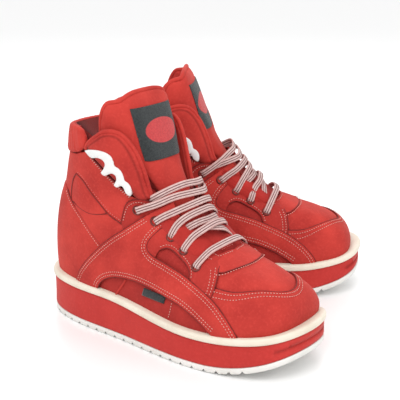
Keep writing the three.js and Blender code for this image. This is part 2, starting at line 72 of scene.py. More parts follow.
def softbox(name, place, aim, size, power):
    """A square area light that faces a point of the pair."""
    data = bpy.data.lights.new(name, "AREA")
    data.shape = "SQUARE"
    data.size = size
    data.energy = power
    lamp = bpy.data.objects.new(name, data)
    lamp.location = place
    lamp.rotation_mode = "QUATERNION"
    lamp.rotation_quaternion = (Vector(aim) - Vector(place)).to_track_quat("-Z", "Y")
    bpy.context.scene.collection.objects.link(lamp)


softbox("key_light", (.25, -.95, 1.25), (0, 0, .1), .9, 9)
softbox("fill_light", (1.35, -.2, .75), (0, 0, .1), 1.1, 4)
softbox("back_light", (-.7, .95, 1.1), (0, 0, .1), 1.0, 5)

world = bpy.data.worlds.new("studio")
world.use_nodes = True
world.node_tree.nodes["Background"].inputs["Color"].default_value = (1, 1, 1, 1)
world.node_tree.nodes["Background"].inputs["Strength"].default_value = 1.0
bpy.context.scene.world = world

floor_mesh = bpy.data.meshes.new("floor")
slab = bmesh.new()
bmesh.ops.create_grid(slab, x_segments=1, y_segments=1, size=6)
slab.to_mesh(floor_mesh)
slab.free()
floor = bpy.data.objects.new("floor", floor_mesh)
bpy.context.scene.collection.objects.link(floor)
floor_paint = bpy.data.materials.new("floor_paint")
floor_paint.use_nodes = True
floor_paint.node_tree.nodes["Principled BSDF"].inputs["Base Color"].default_value = (.93, .93, .93, 1)
floor_paint.node_tree.nodes["Principled BSDF"].inputs["Roughness"].default_value = .35
floor_mesh.materials.append(floor_paint)

# ---------------------------------------------------------------- the last
# Both uppers are drawn over one last, as a smooth skin through tilted closed sections.
# Millimetres, heel at x 0, toe towards +x, inner side towards +y. Every panel is cut from this skin.
STATIONS = (0, .04, .22, .45, .68, .87, .985, 1)
SECTIONS = (
    ((2, 31), (270, 32), (24, 39, 44, 55, 46, 33), .80, -9),
    ((1, 50), (274, 46), (25, 42, 44, 56, 50, 38), .84, -3.5),
    ((1, 74), (269, 61), (25, 41, 42, 48, 41, 29), .90, -2),
    ((4, 96), (256, 73), (24, 39.5, 41, 40, 31, 20), .95, 0),
    ((9, 113), (234, 80), (23, 39, 40, 36, 25, 15), 1, 1),
    ((15, 129), (204, 87), (22, 39, 40.5, 34, 22, 12), 1, 1),
    ((20, 143), (172, 110), (22, 38, 41, 36, 25, 15), 1, 1),
    ((24, 158), (150, 138), (22, 38, 42, 41, 31, 21), 1, 1),
    ((28, 172), (137, 162), (22, 38, 43.5, 45, 37, 27), 1, 0),
    ((32, 187), (127.5, 190), (22, 38, 44, 47, 40, 30), 1, 0),
    ((36, 205), (118, 214), (22, 38, 44, 47, 40, 30), 1, 0),
    ((40, 222), (109, 234), (22, 37, 43, 45, 38, 29), 1, 0),
)
FULL_TOE = 1.14          # the lowest sections bulge this much on the big toe's side


def section_points(index):
    """The fourteen points of one section, from the heel forward along the outer side and back."""
    rear, front, widths, arch, sink = SECTIONS[index]
    toe = FULL_TOE if index < 3 else 1
    inner = (1, 1, (1 + arch) / 2, arch, (1 + 2 * arch) / 3, 1, toe, 1)
    outer_half, inner_half = [], []
    for place, width, pull in zip(STATIONS, (0, *widths, 0), inner):
        x = rear[0] + (front[0] - rear[0]) * place
        z = rear[1] + (front[1] - rear[1]) * place + sink * math.sin(math.pi * place)
        outer_half.append(Vector((x, -width, z)))
        inner_half.append(Vector((x, width * pull, z)))
    return outer_half + inner_half[-2:0:-1]


def beyond(edge, inside):
    """A section as far outside the end one as the next is inside it."""
    return [2 * a - b for a, b in zip(edge, inside)]


def loft(rings, closed_ends=False):
    """A skin through rings of the same number of points."""
    skin = bmesh.new()
    loops = []
    for ring in rings:
        verts = bmesh.ops.create_circle(skin, segments=len(ring), radius=1)["verts"]
        for vert, place in zip(verts, ring):
            vert.co = place
        loops.append(verts)
    for low, high in zip(loops, loops[1:]):
        pair = set(low) | set(high)
        edges = [e for e in skin.edges if e.verts[0] in pair and e.verts[1] in pair]
        edges = [e for e in edges if (e.verts[0] in low) == (e.verts[1] in low)]
        bmesh.ops.bridge_loops(skin, edges=edges)
    if closed_ends:
        for ring in (loops[0], loops[-1]):
            bmesh.ops.contextual_create(skin, geom=ring)
    bmesh.ops.recalc_face_normals(skin, faces=skin.faces[:])
    return skin


def settled(mould, *modifiers):
    """The mesh that modifiers make of a bmesh, as a new bmesh."""
    mesh = bpy.data.meshes.new("mould")
    mould.to_mesh(mesh)
    mould.free()
    thing = bpy.data.objects.new("mould", mesh)
    bpy.context.scene.collection.objects.link(thing)
    for kind, settings in modifiers:
        modifier = thing.modifiers.new(kind.title(), kind)
        for key, value in settings.items():
            setattr(modifier, key, value)
    bpy.context.view_layer.update()
    shaped = thing.evaluated_get(bpy.context.evaluated_depsgraph_get())
    made = bmesh.new()
    made.from_mesh(shaped.to_mesh())
    shaped.to_mesh_clear()
    bpy.data.objects.remove(thing)
    bpy.data.meshes.remove(mesh)
    return made


sections = [section_points(index) for index in range(len(SECTIONS))]
sections = [beyond(sections[0], sections[1]), *sections, beyond(sections[-1], sections[-2])]
last = settled(loft(sections), ("SUBSURF", {"levels": 4, "render_levels": 4}))
last.normal_update()
foremost = max(last.faces, key=lambda face: face.calc_center_median().x)
if foremost.normal.x < 0:
    bmesh.ops.reverse_faces(last, faces=last.faces[:])
last.normal_update()
last_tree = BVHTree.FromBMesh(last)

OUTER, INNER = -1, 1     # the outer and the inner side of a boot, as signs of y

# Where the two boots stand: the right boot lies along x, and the left is its mirror image, toed out.
HINGE_PLACE = Vector((136.6, 0, 152))
right_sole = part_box("right_outsole")
joints = {joint["name"]: joint for joint in frame["joints"]}
SOLE_WIDEST = 54.5       # from the middle plane to the outermost point of the sole, mm
right_origin = Vector((right_sole[0].x, right_sole[0].y + SOLE_WIDEST / 1000, 0))
left_axis = Vector(joints["left_tongue_fold"]["axis"])
left_yaw = math.atan2(-left_axis.x, left_axis.y)
if abs(left_yaw) > math.pi / 2:
    left_yaw -= math.copysign(math.pi, left_yaw)
turn = Matrix.Rotation(left_yaw, 4, "Z")
left_hinge = Vector(joints["left_tongue_fold"]["pos_m"])
left_origin = left_hinge - turn @ (HINGE_PLACE / 1000)
to_metres = Matrix.Scale(.001, 4)
mirror = Matrix.Diagonal((1, -1, 1, 1))
BOOTS = {
    "right": Matrix.Translation(right_origin) @ to_metres,
    "left": Matrix.Translation((left_origin.x, left_origin.y, 0)) @ turn @ mirror @ to_metres,
}


def on_each_boot(piece, name, finish, body="boot", nodes=()):
    """Places a piece on the right boot and its mirror image on the left, riding on their bodies."""
    made = []
    for side, place in BOOTS.items():
        mesh = bpy.data.meshes.new(f"{side}_{name}")
        piece.to_mesh(mesh)
        mesh.transform(place)
        if place.determinant() < 0:
            mesh.flip_normals()
        mesh.polygons.foreach_set("use_smooth", [True] * len(mesh.polygons))
        mesh.materials.append(finish)
        thing = bpy.data.objects.new(f"{side}_{name}", mesh)
        bpy.context.scene.collection.objects.link(thing)
        if body:
            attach(thing, f"{side}_{body}")
        if nodes:
            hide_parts(*[f"{side}_{node}" for node in nodes])
        made.append(thing)
    return made


# ---------------------------------------------------------------- outsole
# A thin white rubber sole with V-shaped grooves moulded across it, so its edge shows as a row of teeth.
# The toe end is plain and springs up off the ground.
def smooth_line(points, per_span, closed=False):
    """Points along a soft curve that passes through the given ones."""
    count = len(points)
    line = []
    for span in range(count if closed else count - 1):
        near = []
        for k in range(-1, 3):
            at = (span + k) % count if closed else min(max(span + k, 0), count - 1)
            near.append(points[at])
        for step in range(per_span):
            t = step / per_span
            line.append(tuple(
                .5 * (2 * q + (r - p) * t + (2 * p - 5 * q + 4 * r - s) * t ** 2
                      + (3 * q - p - 3 * r + s) * t ** 3)
                for p, q, r, s in zip(*near)))
    if not closed:
        line.append(tuple(points[-1]))
    return line


def grown(outline, distance):
    """A closed outline moved outwards, where it runs anticlockwise."""
    moved = []
    for k, here in enumerate(outline):
        before, after = Vector(outline[k - 1]), Vector(outline[(k + 1) % len(outline)])
        along = (after - before).normalized()
        moved.append((here[0] + along.y * distance, here[1] - along.x * distance))
    return moved


SOLE_LENGTH = 280
SOLE_POINTS = ((0, 0), (14, -25), (50, -39.6), (110, -45.8), (185, -54.5), (243, -47.4), (270, -32),
               (SOLE_LENGTH, -1), (271, 32), (245, 47), (200, 50), (120, 34), (50, 36), (14, 24))
sole_outline = smooth_line(SOLE_POINTS, 12, closed=True)
OUTSOLE_THICKNESS = 5.9
HEEL_HEIGHT, BALL_HEIGHT = 35, 26.9
TOE_SPRING, TOE_RISE = 20, 12
TREAD_PITCH, TREAD_DEPTH = 11.5, 3.3


def toe_share(x):
    return (max(x - 200, 0) / 80) ** 2


def ground_line(x):
    return TOE_SPRING * toe_share(x)


def outsole_top(x):
    return ground_line(x) + OUTSOLE_THICKNESS


def midsole_top(x):
    t = min(max((x - 84) / 110, 0), 1)
    return HEEL_HEIGHT - (HEEL_HEIGHT - BALL_HEIGHT) * t * t * (3 - 2 * t) + TOE_RISE * toe_share(x)


def sole_layer(rows):
    """A closed layer of the sole through rows of (how far out, height line, rise)."""
    rings = []
    for out, line, rise in rows:
        rings.append([Vector((x, y, line(x) + rise)) for x, y in grown(sole_outline, out)])
    return loft(rings, closed_ends=True)


outsole = sole_layer([
    (-9, ground_line, 0), (-1.2, ground_line, 0), (-.2, ground_line, .5), (.3, ground_line, 1.6),
    (.4, outsole_top, -1.4), (0, outsole_top, -.5), (-.8, outsole_top, -.15), (-9, outsole_top, -.15)])
grooves = bmesh.new()
groove_x = TREAD_PITCH
while groove_x < SOLE_LENGTH - 3 * TREAD_PITCH:
    shape = (Matrix.Translation((groove_x, 0, ground_line(groove_x) - 1)) @ Matrix.Diagonal((1.35, 1, 1, 1))
             @ Matrix.Rotation(math.pi / 2, 4, "X"))
    bmesh.ops.create_cone(grooves, cap_ends=True, segments=3, radius1=TREAD_DEPTH + 1,
                          radius2=TREAD_DEPTH + 1, depth=130, matrix=shape)
    groove_x += TREAD_PITCH
groove_mesh = bpy.data.meshes.new("grooves")
grooves.to_mesh(groove_mesh)
grooves.free()
groove_cutter = bpy.data.objects.new("grooves", groove_mesh)
bpy.context.scene.collection.objects.link(groove_cutter)
outsole = settled(outsole, ("BOOLEAN", {"operation": "DIFFERENCE", "solver": "EXACT",
                                        "object": groove_cutter}),
                  ("BEVEL", {"width": .25, "segments": 2, "limit_method": "ANGLE"}))
bpy.data.objects.remove(groove_cutter)


def new_finish(name, roughness, **sockets):
    """A material with its Principled shader's plain sockets set; returns it with its nodes and links."""
    paint = bpy.data.materials.new(name)
    paint.use_nodes = True
    tree = paint.node_tree
    shader = tree.nodes["Principled BSDF"]
    shader.inputs["Roughness"].default_value = roughness
    for socket, value in sockets.items():
        shader.inputs[socket.replace("_", " ")].default_value = value
    return paint, tree.nodes, tree.links, shader


def object_noise(nodes, links, scale, detail=3, stretch=(1, 1, 1)):
    """Noise on the object's own coordinates, in cells per metre."""
    place = nodes.new("ShaderNodeTexCoord")
    mapping = nodes.new("ShaderNodeMapping")
    mapping.inputs["Scale"].default_value = stretch
    noise = nodes.new("ShaderNodeTexNoise")
    noise.inputs["Scale"].default_value = scale
    noise.inputs["Detail"].default_value = detail
    links.new(place.outputs["Object"], mapping.inputs["Vector"])
    links.new(mapping.outputs["Vector"], noise.inputs["Vector"])
    return noise.outputs["Fac"]


def ramp(nodes, links, source, *stops):
    """Colours along a value, each stop a place and a colour."""
    made = nodes.new("ShaderNodeValToRGB")
    made.color_ramp.elements[0].position, made.color_ramp.elements[0].color = stops[0][0], (*stops[0][1], 1)
    made.color_ramp.elements[1].position, made.color_ramp.elements[1].color = stops[-1][0], (*stops[-1][1], 1)
    for position, colour in stops[1:-1]:
        made.color_ramp.elements.new(position).color = (*colour, 1)
    links.new(source, made.inputs["Fac"])
    return made.outputs["Color"]


def blended(nodes, links, share, first, second, kind="MIX"):
    """Two colours mixed by a share, either of them a socket or a plain colour."""
    mix = nodes.new("ShaderNodeMix")
    mix.data_type = "RGBA"
    mix.blend_type = kind
    for socket, value in (("Factor", share), ("A", first), ("B", second)):
        index = {"Factor": 0, "A": 6, "B": 7}[socket]
        if isinstance(value, (int, float)):
            mix.inputs[index].default_value = value
        elif isinstance(value, tuple):
            mix.inputs[index].default_value = (*value, 1)
        else:
            links.new(value, mix.inputs[index])
    return mix.outputs[2]


def raised(nodes, links, shader, height, distance, strength=1.0, under=None):
    """Bump from a height, on top of another bump if there is one."""
    bump = nodes.new("ShaderNodeBump")
    bump.inputs["Strength"].default_value = strength
    bump.inputs["Distance"].default_value = distance
    links.new(height, bump.inputs["Height"])
    if under:
        links.new(under, bump.inputs["Normal"])
    links.new(bump.outputs["Normal"], shader.inputs["Normal"])
    return bump.outputs["Normal"]


def clouded(name, roughness, scale, detail, dark, light, **sockets):
    """A material whose colour drifts between two by a noise, each given as a place and a colour."""
    paint, nodes, links, shader = new_finish(name, roughness, **sockets)
    cloud = object_noise(nodes, links, scale, detail)
    links.new(ramp(nodes, links, cloud, dark, light), shader.inputs["Base Color"])
    return paint, nodes, links, shader


def worked(nodes, links, operation, first, second=0.0):
    """A sum of two values, either of them a socket or a plain number."""
    made = nodes.new("ShaderNodeMath")
    made.operation = operation
    for index, value in enumerate((first, second)):
        if isinstance(value, (int, float)):
            made.inputs[index].default_value = value
        else:
            links.new(value, made.inputs[index])
    return made.outputs[0]


def moulded_rubber(name, light, dark, roughness):
    paint, nodes, links, shader = clouded(name, roughness, 45, 3, (.35, dark), (.65, light),
                                          Specular_IOR_Level=.4)
    raised(nodes, links, shader, object_noise(nodes, links, 1400, 2), .0002, .25)
    return paint


white_rubber = moulded_rubber("white_rubber", (.74, .73, .70), (.66, .65, .61), .45)
on_each_boot(outsole, "outsole_tread", white_rubber, nodes=("outsole",))

# ---------------------------------------------------------------- midsole
# The platform: a light block 20 to 29 mm thick, wrapped in smooth red leather that matches the upper.
midsole = sole_layer([
    (-9, outsole_top, 0), (-.6, outsole_top, 0), (-.1, outsole_top, .5), (.15, outsole_top, 2),
    (-.1, outsole_top, 8), (-.15, midsole_top, -8), (.05, midsole_top, -2), (-.1, midsole_top, -.5),
    (-.6, midsole_top, 0), (-9, midsole_top, 0)])


def red_leather(name, light, dark, roughness=.82, nap=.1, grain_height=.00022):
    """Red nubuck: cloudy dye, a fine nap that catches light, and colour darkened by the edge attribute along
    each cut edge, partly the darker dye of the edge and partly painted shade where the overlay's step falls.
    """
    paint, nodes, links, shader = new_finish(
        name, roughness, Specular_IOR_Level=.2, Sheen_Weight=nap, Sheen_Roughness=.45,
        Sheen_Tint=(1, .40, .34, 1))
    cloud = object_noise(nodes, links, 30, 5)
    colour = ramp(nodes, links, cloud, (.3, dark), (.5, tuple((a + b) / 2 for a, b in zip(light, dark))),
                  (.68, light))
    speck = object_noise(nodes, links, 420, 4)
    paler = tuple(min(1, c * 1.18 + .012) for c in light)
    colour = blended(nodes, links, ramp(nodes, links, speck, (.5, (0, 0, 0)), (.75, (.35, .35, .35))),
                     colour, paler)
    # Painted shade and edge dye: the edge attribute darkens the colour towards a deep red along cut edges, in
    # recesses and in grooves.
    edge = nodes.new("ShaderNodeAttribute")
    edge.attribute_name = "edge"
    deep = tuple(c * .34 for c in dark)
    colour = blended(nodes, links, edge.outputs["Fac"], colour, deep)
    links.new(colour, shader.inputs["Base Color"])
    soft = object_noise(nodes, links, 85, 3)
    under = raised(nodes, links, shader, soft, .0012, .35)
    grain = object_noise(nodes, links, 1500, 3)
    raised(nodes, links, shader, grain, grain_height, .8, under)
    return paint


wrap_leather = red_leather("midsole_wrap", (.50, .034, .028), (.42, .025, .021), .62, .08, .00012)
on_each_boot(midsole, "midsole_wrap", wrap_leather, nodes=("midsole",))

# ---------------------------------------------------------------- foxing strip
# A cream rubber welt, cemented round the foot of the upper. It stands about 2 mm proud of the midsole
# and has a soft, rounded edge.
FOXING_HEIGHT, FOXING_PROUD = 6.6, 1.6
foxing = sole_layer([
    (-9, midsole_top, .2), (FOXING_PROUD - 1.2, midsole_top, .2), (FOXING_PROUD - .4, midsole_top, .7),
    (FOXING_PROUD, midsole_top, 1.9), (FOXING_PROUD - .1, midsole_top, 4.2),
    (FOXING_PROUD - .8, midsole_top, 5.7), (FOXING_PROUD - 2.2, midsole_top, FOXING_HEIGHT - .2),
    (-5, midsole_top, FOXING_HEIGHT), (-12, midsole_top, FOXING_HEIGHT)])
cream_rubber = moulded_rubber("cream_rubber", (.74, .68, .57), (.67, .60, .49), .5)
on_each_boot(foxing, "foxing_welt", cream_rubber, nodes=("foxing_strip",))

# ---------------------------------------------------------------- insole board and footbed
# A fibre board closes the bottom of the upper, and a thin red textile footbed lies on it.
# Both keep their plain shape, deep in the boot.
def brushed_textile(name, light, dark, scale=900):
    paint, nodes, links, shader = new_finish(name, .92, Sheen_Weight=.05, Specular_IOR_Level=.1)
    cloud = object_noise(nodes, links, 50, 4)
    links.new(ramp(nodes, links, cloud, (.3, dark), (.7, light)), shader.inputs["Base Color"])
    loops = object_noise(nodes, links, scale, 2, (1, 1, .45))
    raised(nodes, links, shader, loops, .0004, .7)
    return paint


board_fibre = brushed_textile("board_fibre", (.50, .38, .26), (.40, .30, .20))
footbed_textile = brushed_textile("footbed_textile", (.50, .060, .048), (.36, .036, .030))
for side in BOOTS:
    for node, finish in (("insole_board", board_fibre), ("footbed", footbed_textile)):
        materials = frame["nodes"][f"{side}_{node}"].data.materials
        materials.clear()
        materials.append(finish)

# ---------------------------------------------------------------- vamp
# A soft red nubuck panel over the toes. Its edge goes under the mudguard's curved seam,
# and its rear end goes under the throat band.
def beside(point, start, end):
    """How far a flat point is from a straight line between two others."""
    run = end - start
    share = max(0, min(1, (point - start).dot(run) / max(run.length_squared, 1e-9)))
    return (point - start - run * share).length


def holds(outline, point):
    """Whether a flat closed outline goes round a point."""
    within = False
    for (ax, ay), (bx, by) in zip(outline, outline[1:] + outline[:1]):
        if (ay > point.y) != (by > point.y) and point.x < (bx - ax) * (point.y - ay) / (by - ay) + ax:
            within = not within
    return within


REACH = 2.8              # cuts go through the squares within this distance of the line, mm
VIEW_AXES = {"side": (0, 2), "above": (0, 1), "front": (1, 2)}
SIGHT = {"side": Vector((0, 1, 0)), "above": Vector((0, 0, 1)), "front": Vector((1, 0, 0))}


def full_point(flat, view):
    """A flat point of a view as a point in space."""
    place = Vector((0, 0, 0))
    place[VIEW_AXES[view][0]], place[VIEW_AXES[view][1]] = flat[0], flat[1]
    return place


def cut_out(sheet, outline, view="side", keep=True):
    """Cuts a sheet along a closed flat outline, and keeps what is inside it or what is outside it."""
    i, j = VIEW_AXES[view]
    centres = {}

    def note(faces):
        for face in faces:
            centre = face.calc_center_median()
            centres[face] = (centre[i], centre[j])

    note(sheet.faces)
    outline = [tuple(p) for p in outline]
    for a, b in zip(outline, outline[1:] + outline[:1]):
        start, end = Vector(a), Vector(b)
        if (end - start).length < .01:
            continue
        low = (min(a[0], b[0]) - REACH, min(a[1], b[1]) - REACH)
        high = (max(a[0], b[0]) + REACH, max(a[1], b[1]) + REACH)
        near = [face for face, (x, y) in centres.items() if low[0] < x < high[0] and low[1] < y < high[1]
                and beside(Vector((x, y)), start, end) < REACH]
        if near:
            parts = set(near)
            for face in near:
                parts.update(face.edges)
                parts.update(face.verts)
            across = full_point(end - start, view).cross(SIGHT[view])
            cut = bmesh.ops.bisect_plane(sheet, geom=list(parts), dist=1e-4, plane_co=full_point(a, view),
                                         plane_no=across)["geom_cut"]
            note({face for part in cut if isinstance(part, bmesh.types.BMEdge) for face in part.link_faces})
    spare = [face for face, centre in centres.items() if holds(outline, Vector(centre)) != keep]
    bmesh.ops.delete(sheet, geom=spare, context="FACES")


def skin_piece(outline, side=0, view="side"):
    """A sheet of the last's skin inside an outline, on one side of the boot or on both."""
    i, j = VIEW_AXES[view]
    low = Vector((min(p[0] for p in outline) - 4, min(p[1] for p in outline) - 4))
    high = Vector((max(p[0] for p in outline) + 4, max(p[1] for p in outline) + 4))
    sheet = last.copy()
    spare = []
    for face in sheet.faces:
        centre = face.calc_center_median()
        if side * centre.y < -1 or not (low.x < centre[i] < high.x and low.y < centre[j] < high.y):
            spare.append(face)
    bmesh.ops.delete(sheet, geom=spare, context="FACES")
    cut_out(sheet, outline, view)
    return sheet


def cut_leather(sheet, lift, thickness, puff=.5, soft=8, softened=.25):
    """Raises a cut sheet over the last, padded, with a cut edge that goes down to the layer below."""
    bmesh.ops.remove_doubles(sheet, verts=sheet.verts[:], dist=.2)
    bmesh.ops.delete(sheet, geom=[v for v in sheet.verts if not v.link_faces], context="VERTS")
    sheet.normal_update()
    rim = [vert for vert in sheet.verts if vert.is_boundary]
    rim_edges = [edge for edge in sheet.edges if edge.is_boundary]
    edge_line = KDTree(len(rim))
    for index, vert in enumerate(rim):
        edge_line.insert(vert.co, index)
    edge_line.balance()
    normals = {vert: vert.normal.copy() for vert in sheet.verts}
    for vert, normal in normals.items():
        away = edge_line.find(vert.co)[2]
        height = lift + puff * (1 - math.exp(-(away / soft) ** 2)) - softened * math.exp(-(away / .8) ** 2)
        vert.co += normal * height
    # Painted shade and edge dye: the cut edge's wall is darkened, a quarter at its top ring and fully at its
    # foot.
    edge_shade = sheet.verts.layers.float.new("edge")
    for depth, shade in ((.2, .25), (thickness, 1)):
        extruded = bmesh.ops.extrude_edge_only(sheet, edges=rim_edges)["geom"]
        lower = [part for part in extruded if isinstance(part, bmesh.types.BMVert)]
        rim_edges = [part for part in extruded if isinstance(part, bmesh.types.BMEdge) and part.is_boundary]
        for vert in lower:
            _, normal, _, _ = last_tree.find_nearest(vert.co)
            vert.co -= normal * depth
            vert[edge_shade] = shade
    return sheet


standing = [(x, midsole_top(x) + 1) for x in range(-12, 300, 8)] + [(292, 250), (-12, 250)]
vamp_seam = smooth_line([(188, 41), (208, 40.5), (226, 37), (243, 27), (255, 13), (259, 0),
                         (255, -14), (243, -25), (226, -35), (208, -39), (188, -41)], 5)


def throat_outline(margin):
    side = [(200, 0), (198, 12), (194, 19), (185, 22), (165, 21), (150, 21), (138, 24), (129, 29), (122, 33)]
    side = [(x + margin, y + margin if y else 0) for x, y in side]
    half = smooth_line(side, 3) + [(60, 33 + margin)]
    return half + [(x, -y) for x, y in half[:0:-1]]


red_nubuck = red_leather("red_nubuck", (.52, .043, .032), (.36, .024, .019))
vamp = skin_piece(grown(vamp_seam, -4), view="above")
cut_out(vamp, [(203, 40), (201, 66), (200, 80), (200, 110), (300, 110), (300, 40)])
cut_out(vamp, throat_outline(0), "above", keep=False)
on_each_boot(cut_leather(vamp, -2.3, 1.8, 1.1, 12), "vamp_leather", red_nubuck, nodes=("vamp",))

# ---------------------------------------------------------------- toe mudguard
# The thick nubuck guard round the toe, lasted under the foxing. Its upper edge is the U-shaped seam.
mudguard = skin_piece([(226, 10), (216, 44), (194, 60), (194, 92), (300, 92), (300, 10)])
cut_out(mudguard, standing)
cut_out(mudguard, vamp_seam, "above", keep=False)
on_each_boot(cut_leather(mudguard, -.3, 1.8, .8, 9), "mudguard_leather", red_nubuck,
             nodes=("toe_mudguard",))

# ---------------------------------------------------------------- lining
# Red textile, stitched to the collar at the top and lasted with the upper at the bottom.
lining = skin_piece([(-12, 10), (-12, 183), (24, 183), (45, 185.5), (62, 185.5), (68, 183), (71, 177),
                     (74, 168), (80, 175.5), (90, 183), (101.5, 186), (109, 183.5), (115, 179), (124, 157.5),
                     (131, 138.5),
                     (136, 128), (147, 112), (170, 103), (212, 98), (300, 90), (300, 10)])
cut_out(lining, standing)
cut_out(lining, throat_outline(13), "above", keep=False)


def shell(sheet, outer, inner):
    """A closed wall between two heights over the last."""
    bmesh.ops.remove_doubles(sheet, verts=sheet.verts[:], dist=.2)
    sheet.normal_update()
    normals = {vert: vert.normal.copy() for vert in sheet.verts}
    back = bmesh.ops.duplicate(sheet, geom=sheet.verts[:] + sheet.edges[:] + sheet.faces[:])
    for vert, normal in normals.items():
        back["vert_map"][vert].co = vert.co + normal * inner
        vert.co += normal * outer
    bmesh.ops.reverse_faces(sheet, faces=[f for f in back["geom"] if isinstance(f, bmesh.types.BMFace)])
    bmesh.ops.bridge_loops(sheet, edges=[e for e in sheet.edges if e.is_boundary])
    return sheet


lining_textile = brushed_textile("lining_textile", (.46, .036, .030), (.34, .024, .020))
on_each_boot(shell(lining, -3.7, -5.6), "lining_textile", lining_textile, nodes=("lining",))

# ---------------------------------------------------------------- quarters, ankle and collar panels
# The base panels, cut from one thickness of nubuck. The quarter shows in the flank's arched window,
# the ankle panel under the seam, and the collar panel wraps the heel up to the slot below the wing.
quarter_outline = [(76, 20), (76, 62), (88, 66), (119, 96.5), (140, 104), (156, 99), (170, 91),
                   (184, 82), (202, 73), (222, 52), (222, 20)]
ankle_outline = (smooth_line([(43.5, 112), (44.6, 126.4), (48.5, 136), (51.5, 140.6), (55.5, 142.2),
                              (60, 140.6),
                              (73, 130.2), (88.8, 117), (99.9, 110.6), (116, 105)], 4)
                 + [(124, 98), (84, 68), (50, 80)])
SLOT_LINE = [(73.4, 166.6), (78, 161.2), (88.2, 153.3), (94, 148.2), (102.9, 141.4), (109, 137.2),
             (117.6, 131.6)]
collar_outline = ([(-12, 100), (-12, 158.5), (30, 157.5), (55, 160), (68, 164)] + SLOT_LINE
                  + [(124, 129.5), (138, 128), (150, 136), (150, 118), (128, 104), (100, 88), (40, 90)])
shaded_nubuck = red_leather("shaded_nubuck", (.40, .028, .022), (.28, .018, .015))
for side_name, side in (("lateral", OUTER), ("medial", INNER)):
    quarter = skin_piece(quarter_outline, side)
    cut_out(quarter, standing)
    on_each_boot(cut_leather(quarter, -1.9, 1.4, .2), f"quarter_{side_name}_leather", shaded_nubuck,
                 nodes=(f"quarter_{side_name}",))
    ankle = skin_piece(ankle_outline, side)
    on_each_boot(cut_leather(ankle, -.9, 2, .9, 7), f"ankle_{side_name}_leather", red_nubuck,
                 nodes=(f"ankle_panel_{side_name}",))
    collar = skin_piece(collar_outline, side)
    cut_out(collar, throat_outline(0), "above", keep=False)
    on_each_boot(cut_leather(collar, -1.7, 1.8, .8, 9), f"collar_{side_name}_leather", red_nubuck,
                 nodes=(f"collar_panel_{side_name}",))

# ---------------------------------------------------------------- heel counter
# A stiffened nubuck counter that wraps the heel in one piece, from the foxing up to a straight seam.
COUNTER_SEAM = [(35.8, 122.6), (43.3, 114.4), (58, 104), (70.5, 93.2), (84.4, 82.2)]
counter = skin_piece([(-12, 10), (-12, 125), (30, 125.3), *COUNTER_SEAM, (92, 76), (56, 10)])
cut_out(counter, standing)
on_each_boot(cut_leather(counter, 0, 1.8, .8, 9), "counter_leather", red_nubuck,
             nodes=("heel_counter",))

# ---------------------------------------------------------------- eyestays
# The reinforced lace panels at both sides of the throat, with an arched cut-out at the bottom.
def in_view(points):
    """Flat points rounded off between their corners, 3 or so to each span."""
    return smooth_line(points, 3)


EYESTAY_FRONT = [(150, 128), (160, 128), (216, 112), (199, 90), (203, 84), (206, 77.5), (207.5, 68.5),
                 (207, 52)]
WINDOW_ARCH = [(181, 79.6), (175, 84.6), (167, 89), (160, 92.4), (154.5, 93), (150, 90.8), (147.8, 87.4),
               (146, 82)]
eyestay_outline = (in_view(EYESTAY_FRONT) + in_view([(184, 56), (183.5, 73), (181.5, 79)])
                   + in_view(WINDOW_ARCH) + [(140, 79), (130, 79), (130, 100)])
eyelets = ((123.7, 120.2), (140.6, 112), (156, 101), (170.3, 92), (186.2, 82.2))
eyestay_nubuck = red_leather("eyestay_nubuck", (.45, .034, .026), (.32, .021, .017))
for side_name, side in (("lateral", OUTER), ("medial", INNER)):
    eyestay = skin_piece(eyestay_outline, side)
    cut_out(eyestay, throat_outline(0), "above", keep=False)
    on_each_boot(cut_leather(eyestay, .5, 2.2, .6, 7), f"eyestay_{side_name}_leather", eyestay_nubuck,
                 nodes=(f"eyestay_{side_name}",))

# ---------------------------------------------------------------- flanks
# The long nubuck overlay on each side. It sweeps from the heel seam up to the second eyelet,
# and down over the quarter to the foxing, with an arched window cut out of its foot.
FLANK_REAR = [(47, 15), (49.5, 30), (51.8, 41.5), (58, 52), (68, 64), (85.5, 81), (99, 92.3), (113, 102),
              (131, 115.5), (139, 121), (152, 130)]
FLANK_FRONT = [(164, 121), (149.5, 110.5), (143, 104), (138.6, 98), (136.8, 93.3), (137.6, 89.2), (140.8, 86),
               (146.5, 83.3), (157, 80.6), (168, 77.4), (176.5, 74.8), (184.5, 71.6), (195, 67.4),
               (206, 62.4),
               (215.5, 57), (224.5, 50), (231, 43), (235, 36), (240, 15)]
FLANK_ARCH = [(216, 15), (214.6, 27), (212, 34), (203, 42), (191, 48), (178, 52.4), (163, 55.3), (148, 58),
              (133, 59.6), (117, 59.6), (103, 57.6), (94.5, 54.6), (88.2, 50.6), (83.5, 45.5), (81, 39),
              (79.6, 28), (79, 15)]
flank_outline = in_view(FLANK_REAR) + in_view(FLANK_FRONT) + in_view(FLANK_ARCH)
for side_name, side in (("lateral", OUTER), ("medial", INNER)):
    flank = skin_piece(flank_outline, side)
    cut_out(flank, standing)
    cut_out(flank, throat_outline(0), "above", keep=False)
    on_each_boot(cut_leather(flank, 1.4, 3, .8, 8), f"flank_{side_name}_leather", red_nubuck,
                 nodes=(f"flank_{side_name}",))

